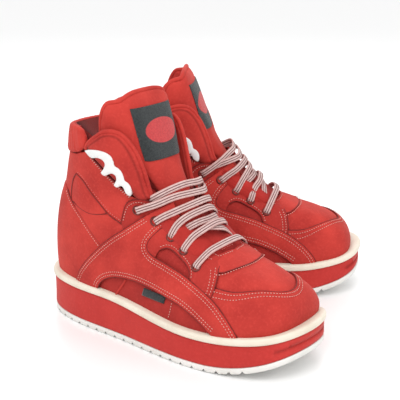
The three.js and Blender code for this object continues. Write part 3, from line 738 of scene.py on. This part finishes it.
# ---------------------------------------------------------------- small overlays
# A patch behind the top eyelet, a curved band that finishes the front of the throat, and in the
# lateral window a rib in the quarter and a plain black woven tag.
kpatch_outline = in_view([(108, 106), (109.5, 112), (110.8, 117.3), (113.1, 123.8), (117, 127.4),
                          (121.5, 129),
                          (128, 129.8), (134.7, 128.4), (141, 125)])
kpatch_outline += [(146, 124), (139, 119.5), (125, 109), (112, 100)]
band_outline = smooth_line([(199, 33), (209, 28.5), (215, 20), (218, 10), (219, 0), (218, -10), (215, -20),
                            (209, -28.5), (199, -33)], 4)
band = skin_piece(band_outline + [(170, -33), (170, 33)], view="above")
cut_out(band, throat_outline(0), "above", keep=False)
cut_out(band, [(196, 40), (196, 120), (240, 120), (240, 40)])
on_each_boot(cut_leather(band, .1, 1.6, .5, 6), "throat_band", red_nubuck)
for side_name, side in (("lateral", OUTER), ("medial", INNER)):
    patch = skin_piece(kpatch_outline, side)
    cut_out(patch, throat_outline(0), "above", keep=False)
    on_each_boot(cut_leather(patch, -.2, 1.6, .3, 5), f"eyelet_patch_{side_name}", shaded_nubuck)


tag = skin_piece([(137.8, 55.6), (162.8, 54.4), (161.5, 48.3), (135.9, 48.9)], OUTER)
tag_cloth = clouded("tag_cloth", .7, 700, 2, (.35, (.011, .014, .015)), (.65, (.026, .031, .032)),
                    Sheen_Weight=.2, Specular_IOR_Level=.3)[0]
on_each_boot(cut_leather(tag, .1, 1.6, .1, 4), "side_tag", tag_cloth)


def on_last(place, height=0.0):
    """The point of the last nearest to a place, moved out to a height over it, and the way out."""
    spot, normal, _, _ = last_tree.find_nearest(Vector(place))
    return spot + normal * height, normal


def sighted(point, view, side=OUTER):
    """The point of the last that shows at a flat point in a view, and the way out there."""
    if view == "side":
        start, sight = Vector((point[0], side * 300, point[1])), Vector((0, -side, 0))
    elif view == "above":
        start, sight = Vector((point[0], point[1], 400)), Vector((0, 0, -1))
    else:
        start, sight = Vector((500, point[0], point[1])), Vector((-1, 0, 0))
    spot, normal, _, _ = last_tree.ray_cast(start, sight)
    return spot, normal


def swept(path, section, outs):
    """A closed strip or cord: a flat section of (across, up) carried along a path, up along each way out."""
    rings = []
    for k, place in enumerate(path):
        along = (path[min(k + 1, len(path) - 1)] - path[max(k - 1, 0)]).normalized()
        across = along.cross(outs[k]).normalized()
        up = across.cross(along)
        rings.append([place + across * a + up * b for a, b in section])
    return loft(rings, closed_ends=True)


def round_section(radius, sides=10):
    return [(radius * math.cos(math.tau * k / sides), radius * math.sin(math.tau * k / sides))
            for k in range(sides)]


rib_spots = [sighted(p, "side") for p in smooth_line([(115, 58), (112, 52.5), (106.5, 45), (101, 37)], 6)]
rib = swept([spot + out * -1.5 for spot, out in rib_spots], round_section(1.1), [out for _, out in rib_spots])
on_each_boot(rib, "quarter_rib", red_nubuck)

# ---------------------------------------------------------------- eyelets
# Five rolled metal eyelets down each side, painted dark red, each clenched through the leather.
EYELET_LIFTS = (.2, 2.2, 1.1, 1.1, 1.1)
EYELET_PROFILE = ((0, -3.4), (2.3, -3.4), (2.5, -.6), (2.7, .35), (3.3, .75), (4, .55), (4.4, 0), (4.4, -1.2))


eyelet_metal = clouded("eyelet_metal", .38, 500, 2, (.35, (.10, .018, .015)), (.7, (.20, .035, .028)),
                       Metallic=.55)[0]
for side_name, side in (("lateral", OUTER), ("medial", INNER)):
    row = bmesh.new()
    for (x, z), lift in zip(eyelets, EYELET_LIFTS):
        spot, out = sighted((x, z), "side", side)
        if (x, z) == eyelets[1]:
            spot, out = sighted((x, z + .8), "side", side)
        start = len(row.verts)
        edges = []
        verts = [row.verts.new((r, 0, h)) for r, h in EYELET_PROFILE]
        for a, b in zip(verts, verts[1:]):
            edges.append(row.edges.new((a, b)))
        bmesh.ops.spin(row, geom=verts + edges, axis=(0, 0, 1), cent=(0, 0, 0), angle=math.tau,
                       steps=20, use_merge=True)
        row.verts.ensure_lookup_table()
        fresh = row.verts[start:]
        place = Matrix.Translation(spot + out * lift) @ out.to_track_quat("Z", "Y").to_matrix().to_4x4()
        bmesh.ops.transform(row, matrix=place, verts=fresh)
    bmesh.ops.remove_doubles(row, verts=row.verts[:], dist=.01)
    bmesh.ops.recalc_face_normals(row, faces=row.faces[:])
    on_each_boot(row, f"eyelets_{side_name}", eyelet_metal, nodes=(f"eyelet_row_{side_name}",))

# ---------------------------------------------------------------- collar wings
# Padded nubuck wings that flare out beside the tongue, with a rolled piping along the free edge.
# They are stuffed with foam: pressed full here, then dipped where they go down into the slot.
WING_RIM = [(71.5, 167.6), (73.2, 171), (76.6, 174.6), (82, 178.4), (87.8, 182), (94.9, 186), (103.4, 187.6),
            (111.4, 185.4), (118, 178.8), (123, 170.7), (127.6, 159.8), (131.6, 147), (134, 138), (137, 131)]


def stuffed(sheet, front, back, edge_round, voxel=1.7, pressure=4.0, cap=1.2):
    """A closed pad between two heights over the last with rounded edges, inflated as cloth."""
    bmesh.ops.remove_doubles(sheet, verts=sheet.verts[:], dist=.2)
    sheet.normal_update()
    rim = [v for v in sheet.verts if v.is_boundary]
    edge_line = KDTree(len(rim))
    for index, vert in enumerate(rim):
        edge_line.insert(vert.co, index)
    edge_line.balance()
    middle = (front + back) / 2
    fronts = sheet.verts[:]
    twins = bmesh.ops.duplicate(sheet, geom=sheet.verts[:] + sheet.edges[:] + sheet.faces[:])
    bmesh.ops.reverse_faces(sheet, faces=[f for f in twins["geom"] if isinstance(f, bmesh.types.BMFace)])
    for a in fronts:
        b = twins["vert_map"][a]
        share = min(edge_line.find(a.co)[2] / edge_round, 1)
        bulge = math.sqrt(1 - (1 - share) ** 2)
        _, normal = on_last(a.co)
        place = a.co.copy()
        a.co = place + normal * (middle + (front - middle) * bulge)
        b.co = place + normal * (middle + (back - middle) * bulge)
    bmesh.ops.remove_doubles(sheet, verts=sheet.verts[:], dist=.05)
    mesh = bpy.data.meshes.new("stuffing")
    sheet.to_mesh(mesh)
    sheet.free()
    mesh.transform(to_metres)
    pad = bpy.data.objects.new("stuffing", mesh)
    bpy.context.scene.collection.objects.link(pad)
    remesh = pad.modifiers.new("Remesh", "REMESH")
    remesh.mode = "VOXEL"
    remesh.voxel_size = voxel / 1000
    baked(pad)
    before = [v.co.copy() for v in pad.data.vertices]
    cloth = pad.modifiers.new("Cloth", "CLOTH")
    cloth.settings.use_pressure = True
    cloth.settings.uniform_pressure_force = pressure
    cloth.settings.quality = 4
    cloth.settings.effector_weights.gravity = 0
    cloth.point_cache.frame_start, cloth.point_cache.frame_end = 1, 20
    for number in range(1, 21):
        bpy.context.scene.frame_set(number)
    baked(pad)
    for vert, old in zip(pad.data.vertices, before):
        move = vert.co - old
        if move.length > cap / 1000:
            vert.co = old + move.normalized() * (cap / 1000)
    soft = pad.modifiers.new("Smooth", "SMOOTH")
    soft.iterations = 3
    finer = pad.modifiers.new("Subdivision", "SUBSURF")
    finer.levels = finer.render_levels = 1
    baked(pad)
    made = bmesh.new()
    made.from_mesh(pad.data)
    bmesh.ops.scale(made, vec=(1000, 1000, 1000), verts=made.verts[:])
    bpy.data.objects.remove(pad)
    return made


def baked(thing):
    """Replaces an object's mesh with what its modifiers make of it."""
    bpy.context.view_layer.update()
    shaped = thing.evaluated_get(bpy.context.evaluated_depsgraph_get())
    mesh = bpy.data.meshes.new_from_object(shaped)
    thing.modifiers.clear()
    thing.data = mesh


def with_added(piece, extra):
    """Two meshes as one."""
    mesh = bpy.data.meshes.new("added")
    extra.to_mesh(mesh)
    extra.free()
    piece.from_mesh(mesh)
    bpy.data.meshes.remove(mesh)
    return piece


rim_line = in_view(WING_RIM)
slot_edge = [(118, 131), (109.3, 136.8), (102.9, 141), (94, 147.8), (88.2, 152.9), (78, 160.6), (72.6, 166)]
slot_points = [Vector(p) for p in slot_edge]
rim_points = [Vector(p) for p in smooth_line(WING_RIM, 9)]
for side_name, side in (("lateral", OUTER), ("medial", INNER)):
    wing = skin_piece(rim_line + [(131, 129), (124, 129)] + slot_edge, side)
    cut_out(wing, throat_outline(-1), "above", keep=False)
    wing = stuffed(wing, 1.3, -5.2, 3.2)
    # Painted shade: the wing darkens into the recess along the slot, and in a line just inside the rolled
    # piping.
    shade = wing.verts.layers.float.new("edge")
    for vert in wing.verts:
        at = Vector((vert.co.x, vert.co.z))
        away = min(beside(at, a, b) for a, b in zip(slot_points, slot_points[1:]))
        _, out = on_last(vert.co)
        rolled = min((at - p).length for p in rim_points)
        vert.co -= out * (3.2 * math.exp(-(away / 4.6) ** 2) + .7 * math.exp(-((rolled - 3.6) / 1.1) ** 2))
        vert[shade] = max(.95 * math.exp(-(away / 7) ** 2), .5 * math.exp(-((rolled - 3.6) / .9) ** 2))
    spots = [sighted(p, "side", side) for p in rim_line]
    piping = swept([spot + out * -1.6 for spot, out in spots], round_section(1.9), [out for _, out in spots])
    piping.verts.layers.float.new("edge")
    for thing in on_each_boot(with_added(wing, piping), f"wing_{side_name}_pad", red_nubuck,
                              nodes=(f"collar_wing_{side_name}",)):
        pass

# ---------------------------------------------------------------- scalloped trim
# A white rubber trim of three arches, moulded in one piece and glued on each wing above the slot.
trim_outline = in_view([
    (74.5, 167.5), (80, 169.2), (87, 170.2), (93.5, 170.3), (99.5, 169.3), (103.8, 166.6), (105.8, 162.2),
    (106.6, 158.6), (109.6, 156.9), (112.4, 153.7), (113.8, 149.7), (114.6, 146.4), (117.4, 144.4),
    (119.5, 141), (120.2, 136.5), (118.9, 133.2), (116.6, 134), (114.6, 136), (113.8, 138.4), (112.6, 140.6),
    (110.7, 141.4), (107.2, 139.5), (104.1, 141.2), (105.6, 143.7), (107, 146.3), (106.9, 149.8),
    (104.2, 151.6), (101.2, 151.2), (95.5, 148.4), (91.7, 150.5), (94.1, 153.3), (96.5, 156.8), (97.2, 160.1),
    (94.8, 162.8), (89.8, 163.8), (83.3, 162.5), (79, 163.9)])
trim_rubber = moulded_rubber("trim_rubber", (.76, .76, .75), (.70, .70, .69), .35)
for side_name, side in (("lateral", OUTER), ("medial", INNER)):
    trim = skin_piece(trim_outline, side)
    trim = cut_leather(trim, 3.1, 2.6, .2, 1.5, .4)
    on_each_boot(trim, f"scallop_{side_name}", trim_rubber, nodes=(f"scallop_trim_{side_name}",))

# ---------------------------------------------------------------- heel tab
# The padded top of the heel: a soft roll of nubuck, gathered into small upright creases.
tab = skin_piece(in_view([(-14, 159), (12, 158.3), (30, 158), (45, 159), (55, 160.8), (64, 164), (71, 169.5)])
                 + in_view([(72.6, 173), (71.4, 179), (68.4, 183.6), (62, 186.2), (45, 186.3), (24, 184),
                            (-14, 184)]))
tab = stuffed(tab, .4, -5.6, 3, cap=.6)
CREASE_DEPTH = .35
tab.verts.layers.float.new("edge")
for vert in tab.verts:
    _, out = on_last(vert.co)
    around = math.atan2(vert.co.y, vert.co.x - 60) * 24
    wander = around * 1.7 + 1.3 * math.sin(around * .6)
    crease = math.sin(wander) * (.5 + .5 * math.sin(vert.co.z * .21 + around))
    vert.co += out * CREASE_DEPTH * crease
for thing in on_each_boot(tab, "heel_tab_pad", red_nubuck, nodes=("heel_tab",)):
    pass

# ---------------------------------------------------------------- tongue
# One long padded tongue, sewn in at the front of the throat. Its piped top stands above the collar,
# over its hinge line.
front_edge = smooth_line([(0, 221.5), (14, 221), (24, 219.2), (32, 216.4), (40, 212.5), (50, 207), (51, 186),
                          (50, 172),
                          (43, 166), (38, 158), (32, 146), (28, 134), (24, 118), (21, 92), (19, 60)], 4)
tongue = skin_piece([(216, 60), (176, 60), (120, 100), (96, 140)]
                    + in_view([(87, 160), (84, 175), (83, 187), (84.5, 197), (89, 206), (96, 213),
                               (103, 218.5), (108, 222)])
                    + [(140, 222), (170, 160), (216, 110)])
cut_out(tongue, front_edge + [(-y, z) for y, z in front_edge[:0:-1]], "front")
bmesh.ops.remove_doubles(tongue, verts=tongue.verts[:], dist=.2)
rim_places = {}
for vert in tongue.verts:
    if vert.is_boundary and vert.co.z > 161:
        turned = round(math.atan2(vert.co.z - 161, vert.co.y) / math.radians(7))
        rim_places.setdefault(turned, []).append(vert.co.copy())
rim = [tuple(sum(places, Vector()) / len(places)) for _, places in sorted(rim_places.items())]
rim = smooth_line(rim, 4)
spots = [on_last(p) for p in rim]
tongue = stuffed(tongue, -8.2, -14.4, 3.4, voxel=2.2)
piping = swept([spot + out * -10.6 for spot, out in spots], round_section(2.1), [out for _, out in spots])
tongue = with_added(tongue, piping)
tongue.verts.layers.float.new("edge")
tongue_tree = BVHTree.FromBMesh(tongue)
for thing in on_each_boot(tongue, "tongue_pad", red_nubuck, body=None, nodes=("tongue_top", "tongue_lower")):
    side = thing.name.split("_")[0]
    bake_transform(thing)

# ---------------------------------------------------------------- tongue label
# A charcoal woven label with a plain red oval, sewn flat on the tongue.
label = skin_piece([(90, 160), (90, 210), (150, 210), (150, 160)])
cut_out(label, [(-29.5, 163.5), (29.5, 163.5), (29, 207.5), (-29, 207.5)], "front")
label = cut_leather(label, 0, .5, 0)
label_across, label_up = label.verts.layers.float.new("across"), label.verts.layers.float.new("up")
for vert in label.verts:
    vert[label_across], vert[label_up] = vert.co.y - 3, vert.co.z - 186
    _, out = on_last(vert.co)
    spot = tongue_tree.ray_cast(vert.co + out * 4, -out)[0]
    if spot:
        vert.co = spot + out * (.75 if not vert.is_boundary else -.3)


def label_finish():
    paint, nodes, links, shader = new_finish("label_weave", .68, Sheen_Weight=.15, Specular_IOR_Level=.3)
    across, up = nodes.new("ShaderNodeAttribute"), nodes.new("ShaderNodeAttribute")
    across.attribute_name, up.attribute_name = "across", "up"

    def sum_of(operation, first, second):
        return worked(nodes, links, operation, first, second)

    wide = sum_of("DIVIDE", across.outputs["Fac"], 22.5)
    tall = sum_of("DIVIDE", up.outputs["Fac"], 10.5)
    oval = sum_of("ADD", sum_of("MULTIPLY", wide, wide), sum_of("MULTIPLY", tall, tall))
    cloud = object_noise(nodes, links, 600, 2)
    ground = ramp(nodes, links, cloud, (.35, (.013, .016, .017)), (.65, (.030, .036, .037)))
    face = ramp(nodes, links, cloud, (.35, (.46, .030, .034)), (.65, (.56, .045, .046)))
    inside = ramp(nodes, links, oval, (.94, (1, 1, 1)), (1, (0, 0, 0)))
    links.new(blended(nodes, links, inside, ground, face), shader.inputs["Base Color"])
    threads = sum_of("MULTIPLY", sum_of("SINE", sum_of("MULTIPLY", across.outputs["Fac"], 9), 0),
                     sum_of("SINE", sum_of("MULTIPLY", up.outputs["Fac"], 9), 0))
    raised(nodes, links, shader, threads, .0002, .5)
    return paint


on_each_boot(label, "label_weave", label_finish(), body="tongue", nodes=("tongue_label",))

# ---------------------------------------------------------------- laces
# A flat woven lace, pale pink with two dark lines along it. It crosses the tongue in five bars;
# its two ends pass behind the wings.
LACE_SECTION = [(3.1 * math.copysign(abs(math.cos(a)) ** .55, math.cos(a)), .95 * math.sin(a))
                for a in (math.tau * k / 16 for k in range(16))]


def lace_run(*stops):
    """A stretch of lace through stops, each a place by the last or an eyelet, with a height over the last."""
    knots = []
    for k, (place, height) in enumerate(stops):
        if len(place) == 3:
            knots.append(tuple(on_last(place, height)[0]))
            continue
        hole, out = sighted(eyelets[place[0]], "side", place[1])
        onward = (Vector(stops[1 if k == 0 else -2][0]) - hole).normalized()
        ends = [tuple(hole - onward * .8 + out * height), tuple(hole + onward * 1.4 + out * 2.9)]
        knots.extend(ends if k == 0 else ends[::-1])
    path = [Vector(p) for p in smooth_line(knots, 5)]
    outs = [on_last(p)[1] for p in path]
    run = swept(path, LACE_SECTION, outs)
    across, along = run.verts.layers.float.new("across"), run.verts.layers.float.new("along")
    gone = 0
    for k, vert in enumerate(run.verts):
        ring, step = divmod(k, len(LACE_SECTION))
        if ring and step == 0:
            gone += (path[ring] - path[ring - 1]).length
        vert[across], vert[along] = LACE_SECTION[step][0] / 3.1, gone
    return run


LACE_RUNS = (
    (((0, OUTER), -3), ((131, -33, 123.6), 3.4), ((140.5, -28.8, 127.6), 4),
     ((150.7, -19.5, 132.4), 4.2), ((155.1, -.8, 131.6), 4.6), ((154.5, 14, 130.5), 4.8),
     ((148, 25.5, 131), 4.4),
     ((142, 30, 129.5), 3.4), ((136, 32, 127), .5), ((131, 33.5, 126), -4)),
    (((133.5, -32, 129), -4), ((138, -29.3, 132.6), .5), ((146.4, -21.3, 138.3), 2.6),
     ((149.5, -5.6, 140), 3.4),
     ((149.7, 11, 138.2), 3.8), ((145, 21, 136.5), 3.6), ((137.5, 28.5, 130), 3), ((0, INNER), -3)),
    (((1, OUTER), -3), ((147, -28, 117), 4), ((153.4, -23.1, 120.8), 4.2),
     ((160.4, -7.9, 124.1), 4.4), ((160, 8, 124), 4.4), ((154, 21, 121), 4.2), ((147, 28, 117), 4),
     ((1, INNER), -3)),
    (((2, OUTER), -3), ((158.4, -23.5, 110.5), 3.8), ((162.9, -17.5, 116.3), 4),
     ((166, -2.6, 118.4), 4.2), ((165.5, 10, 117.2), 4.2), ((160.5, 22, 110.5), 4), ((2, INNER), -3)),
    (((163, -24, 106), -4), ((167, -18.5, 109.2), .6), ((170.5, -10, 111.3), 1.6), ((172, .7, 111.5), 1.8),
     ((170, 12, 110.6), 1.6), ((165, 20, 107.6), .6), ((161, 25, 104), -4)),
    (((3, OUTER), -3), ((172.5, -21, 101), 4), ((176.1, -13.8, 105.4), 4.6),
     ((177, .9, 107.4), 4.8), ((175.5, 13, 104.5), 4.6), ((172.5, 21, 101), 4), ((3, INNER), -3)),
    (((175.5, -7, 107), .8), ((179.2, 1, 105), 1.8), ((181.5, 10, 101.5), 1.8), ((184, 20, 95), .4),
     ((185.5, 26, 89.5), -4)),
    (((4, OUTER), -3), ((189.8, -22.5, 90.5), 4), ((192.8, -12.1, 93.8), 4.4),
     ((193.8, 4, 94.6), 4.6), ((192, 18, 92), 4.4), ((4, INNER), -3)),
)
lace = bmesh.new()
for layer in ("across", "along"):
    lace.verts.layers.float.new(layer)
for stops in LACE_RUNS:
    lace = with_added(lace, lace_run(*stops))


def lace_finish():
    paint, nodes, links, shader = new_finish("lace_weave", .85, Sheen_Weight=.1, Specular_IOR_Level=.2)
    across, along = nodes.new("ShaderNodeAttribute"), nodes.new("ShaderNodeAttribute")
    across.attribute_name, along.attribute_name = "across", "along"

    from_middle = worked(nodes, links, "ABSOLUTE", across.outputs["Fac"])
    from_line = worked(nodes, links, "ABSOLUTE", worked(nodes, links, "SUBTRACT", from_middle, .34))
    line = ramp(nodes, links, from_line, (.11, (1, 1, 1)), (.17, (0, 0, 0)))
    weave = worked(nodes, links, "SINE", worked(nodes, links, "MULTIPLY", along.outputs["Fac"], 4.2))
    broken = ramp(nodes, links, weave, (.0, (.8, .8, .8)), (.5, (1, 1, 1)))
    share = worked(nodes, links, "MULTIPLY", line, broken)
    cloud = object_noise(nodes, links, 300, 2)
    pale = ramp(nodes, links, cloud, (.3, (.66, .46, .43)), (.7, (.76, .58, .55)))
    outer = ramp(nodes, links, from_middle, (.62, (0, 0, 0)), (.9, (.42, .42, .42)))
    pale = blended(nodes, links, outer, pale, (.58, .20, .18))
    links.new(blended(nodes, links, share, pale, (.13, .015, .016)), shader.inputs["Base Color"])
    ribs = worked(nodes, links, "SINE", worked(nodes, links, "MULTIPLY", across.outputs["Fac"], 14))
    knit = worked(nodes, links, "MULTIPLY", weave, ribs)
    raised(nodes, links, shader, knit, .0004, .8)
    return paint


on_each_boot(lace, "lace_webbing", lace_finish(), nodes=("lace",))

# ---------------------------------------------------------------- stitching
# Pale pink thread: double rows along the flanks, the toe seam and the eyestay fronts, single rows
# elsewhere, and a slanting whip stitch along the slot below each wing.
STITCH_PITCH, STITCH_LENGTH, STITCH_WIDTH = 2.5, .9, .4


def shifted(line, distance):
    """A flat open line moved sideways, to its left."""
    moved = []
    for k, here in enumerate(line):
        before, after = Vector(line[max(k - 1, 0)]), Vector(line[min(k + 1, len(line) - 1)])
        along = (after - before).normalized()
        moved.append((here[0] - along.y * distance, here[1] + along.x * distance))
    return moved


def sew(thread, line, height, view="side", side=OUTER, rows=(0,), pitch=STITCH_PITCH, slant=0.0,
        length=STITCH_LENGTH):
    """Rows of stitches along a flat line, at a height over the last."""
    for row in rows:
        spots = [sighted(p, view, side) for p in shifted(line, row)]
        spots = [(spot, out) for spot, out in spots if spot]
        left = pitch / 2
        for (a, out), (b, _) in zip(spots, spots[1:]):
            run = b - a
            while left < run.length:
                along = run.normalized()
                up = out.normalized()
                across = up.cross(along).normalized()
                frame_of = Matrix((along, across, up)).transposed().to_4x4()
                place = (Matrix.Translation(a + along * left + up * height) @ frame_of
                         @ Matrix.Rotation(slant, 4, "Z")
                         @ Matrix.Diagonal((length, STITCH_WIDTH, STITCH_WIDTH * .8, 1)))
                bmesh.ops.create_icosphere(thread, subdivisions=1, radius=1, matrix=place)
                left += pitch
            left -= run.length


thread = bmesh.new()
flank_top = in_view([(53, 42.5), *FLANK_REAR[3:9]])
flank_front = in_view(FLANK_FRONT[1:-1])
flank_arch = in_view([(213, 36), *FLANK_ARCH[3:14], (82, 41.5)])
window_arch = in_view([(183.5, 73), *WINDOW_ARCH[:6]])
eyestay_front = in_view([*EYESTAY_FRONT[4:7], (207, 63)])
counter_edge = in_view(COUNTER_SEAM)
ankle_seam = in_view([(54.9, 141.7), (64.3, 137.5), (72.7, 129.6), (84.8, 119.6), (95, 111.6),
                      (108.7, 105.8)])
for side in (OUTER, INNER):
    sew(thread, flank_top, 1.75, side=side, rows=(-1.9, -4.4))
    sew(thread, flank_front, 1.75, side=side, rows=(-1.9, -4.4))
    sew(thread, flank_arch, 1.75, side=side, rows=(-1.9, -4.4))
    sew(thread, window_arch, .85, side=side, rows=(-1.8,))
    sew(thread, eyestay_front, .85, side=side, rows=(-1.9, -5))
    sew(thread, counter_edge, .3, side=side, rows=(-2,))
    sew(thread, ankle_seam, -1.1, side=side, rows=(2.2,))
    sew(thread, SLOT_LINE, -1.2, side=side, rows=(-1.4,), pitch=2.3, slant=1.15, length=1.5)
    sew(thread, in_view([(110.6, 109), (112.6, 117), (115.2, 122.6), (121, 126.6), (128, 127.4),
                         (136, 126)]), .25,
        side=side)
    sew(thread, in_view([(170, 51.5), (169, 44), (167, 37)]), -1.3, side=side)
    sew(thread, in_view([(152, 115), (161, 105.6), (172, 96.6), (185, 90), (196, 87)]), 1.0, side=side)
toe_seam = [p for p in vamp_seam if p[0] > 207]
sew(thread, toe_seam, .35, "above", rows=(1.8, 4.2))
sew(thread, [p for p in band_outline if p[0] > 201], .45, "above", rows=(1.8,))
sew(thread, [p for p in throat_outline(0) if p[0] > 193][::-1], .45, "above", rows=(1.8,))


seam_thread = clouded("seam_thread", .6, 250, 2, (.35, (.58, .25, .21)), (.7, (.72, .38, .33)),
                      Specular_IOR_Level=.3)[0]
on_each_boot(thread, "seam_stitching", seam_thread)

# ---------------------------------------------------------------- cut edges
# Every overlay's cut edge carries dark red dye put on by hand; a thin dark cord along each seam is both that
# dye bead and a painted shadow line at the foot of the step, and the cords in the ankle gap and along the
# slot are painted shade in those recesses.
edge_dye = clouded("edge_dye", .6, 260, 3, (.35, (.14, .011, .010)), (.7, (.23, .018, .015)),
                   Specular_IOR_Level=.25)[0]


def bead(line, height, radius=.5, row=.3, view="side", side=OUTER):
    """A thin dark cord along a flat line, at a height over the last: edge dye and painted shadow line in one.
    """
    spots = [sighted(p, view, side) for p in shifted(line, row)]
    spots = [(spot, out) for spot, out in spots if spot]
    return swept([spot + out * height for spot, out in spots], round_section(radius, 6),
                 [out for _, out in spots])


shadow_and_dye_cords = bmesh.new()
ankle_rear = in_view([(43, 115.3), (44.4, 126.4), (48.6, 136), (54.5, 141.9)])
ankle_curve = in_view([(47.4, 114.2), (58.3, 110.5), (71.1, 108.5), (84.3, 110.2), (93.7, 113)])
patch_edge = in_view([(108, 106), (109.5, 112), (110.8, 117.3), (113.1, 123.8), (117, 127.4), (121.5, 129),
                      (128, 129.8), (134.7, 128.4)])
for side in (OUTER, INNER):
    for line, height in ((flank_top, .8), (flank_front, .8), (flank_arch, .8), (window_arch, 0),
                         (eyestay_front, 0), (counter_edge, -.4), (patch_edge, -.5)):
        shadow_and_dye_cords = with_added(shadow_and_dye_cords, bead(line, height, side=side))
    shadow_and_dye_cords = with_added(shadow_and_dye_cords, bead(ankle_rear, -.9, .7, 0, side=side))
    shadow_and_dye_cords = with_added(shadow_and_dye_cords, bead(ankle_curve, -.25, .45, 0, side=side))
    shadow_and_dye_cords = with_added(shadow_and_dye_cords, bead(ankle_seam, -.7, .6, 0, side=side))
    shadow_and_dye_cords = with_added(shadow_and_dye_cords, bead(SLOT_LINE, -1.2, .8, .4, side=side))
shadow_and_dye_cords = with_added(shadow_and_dye_cords, bead(toe_seam, -.7, .55, 0, "above"))
shadow_and_dye_cords = with_added(shadow_and_dye_cords, bead([p for p in band_outline if p[0] > 200], -.3, .5, 0, "above"))
on_each_boot(shadow_and_dye_cords, "dyed_edges", edge_dye)

# ---------------------------------------------------------------- clean-up: the last's skin is freed
last.free()
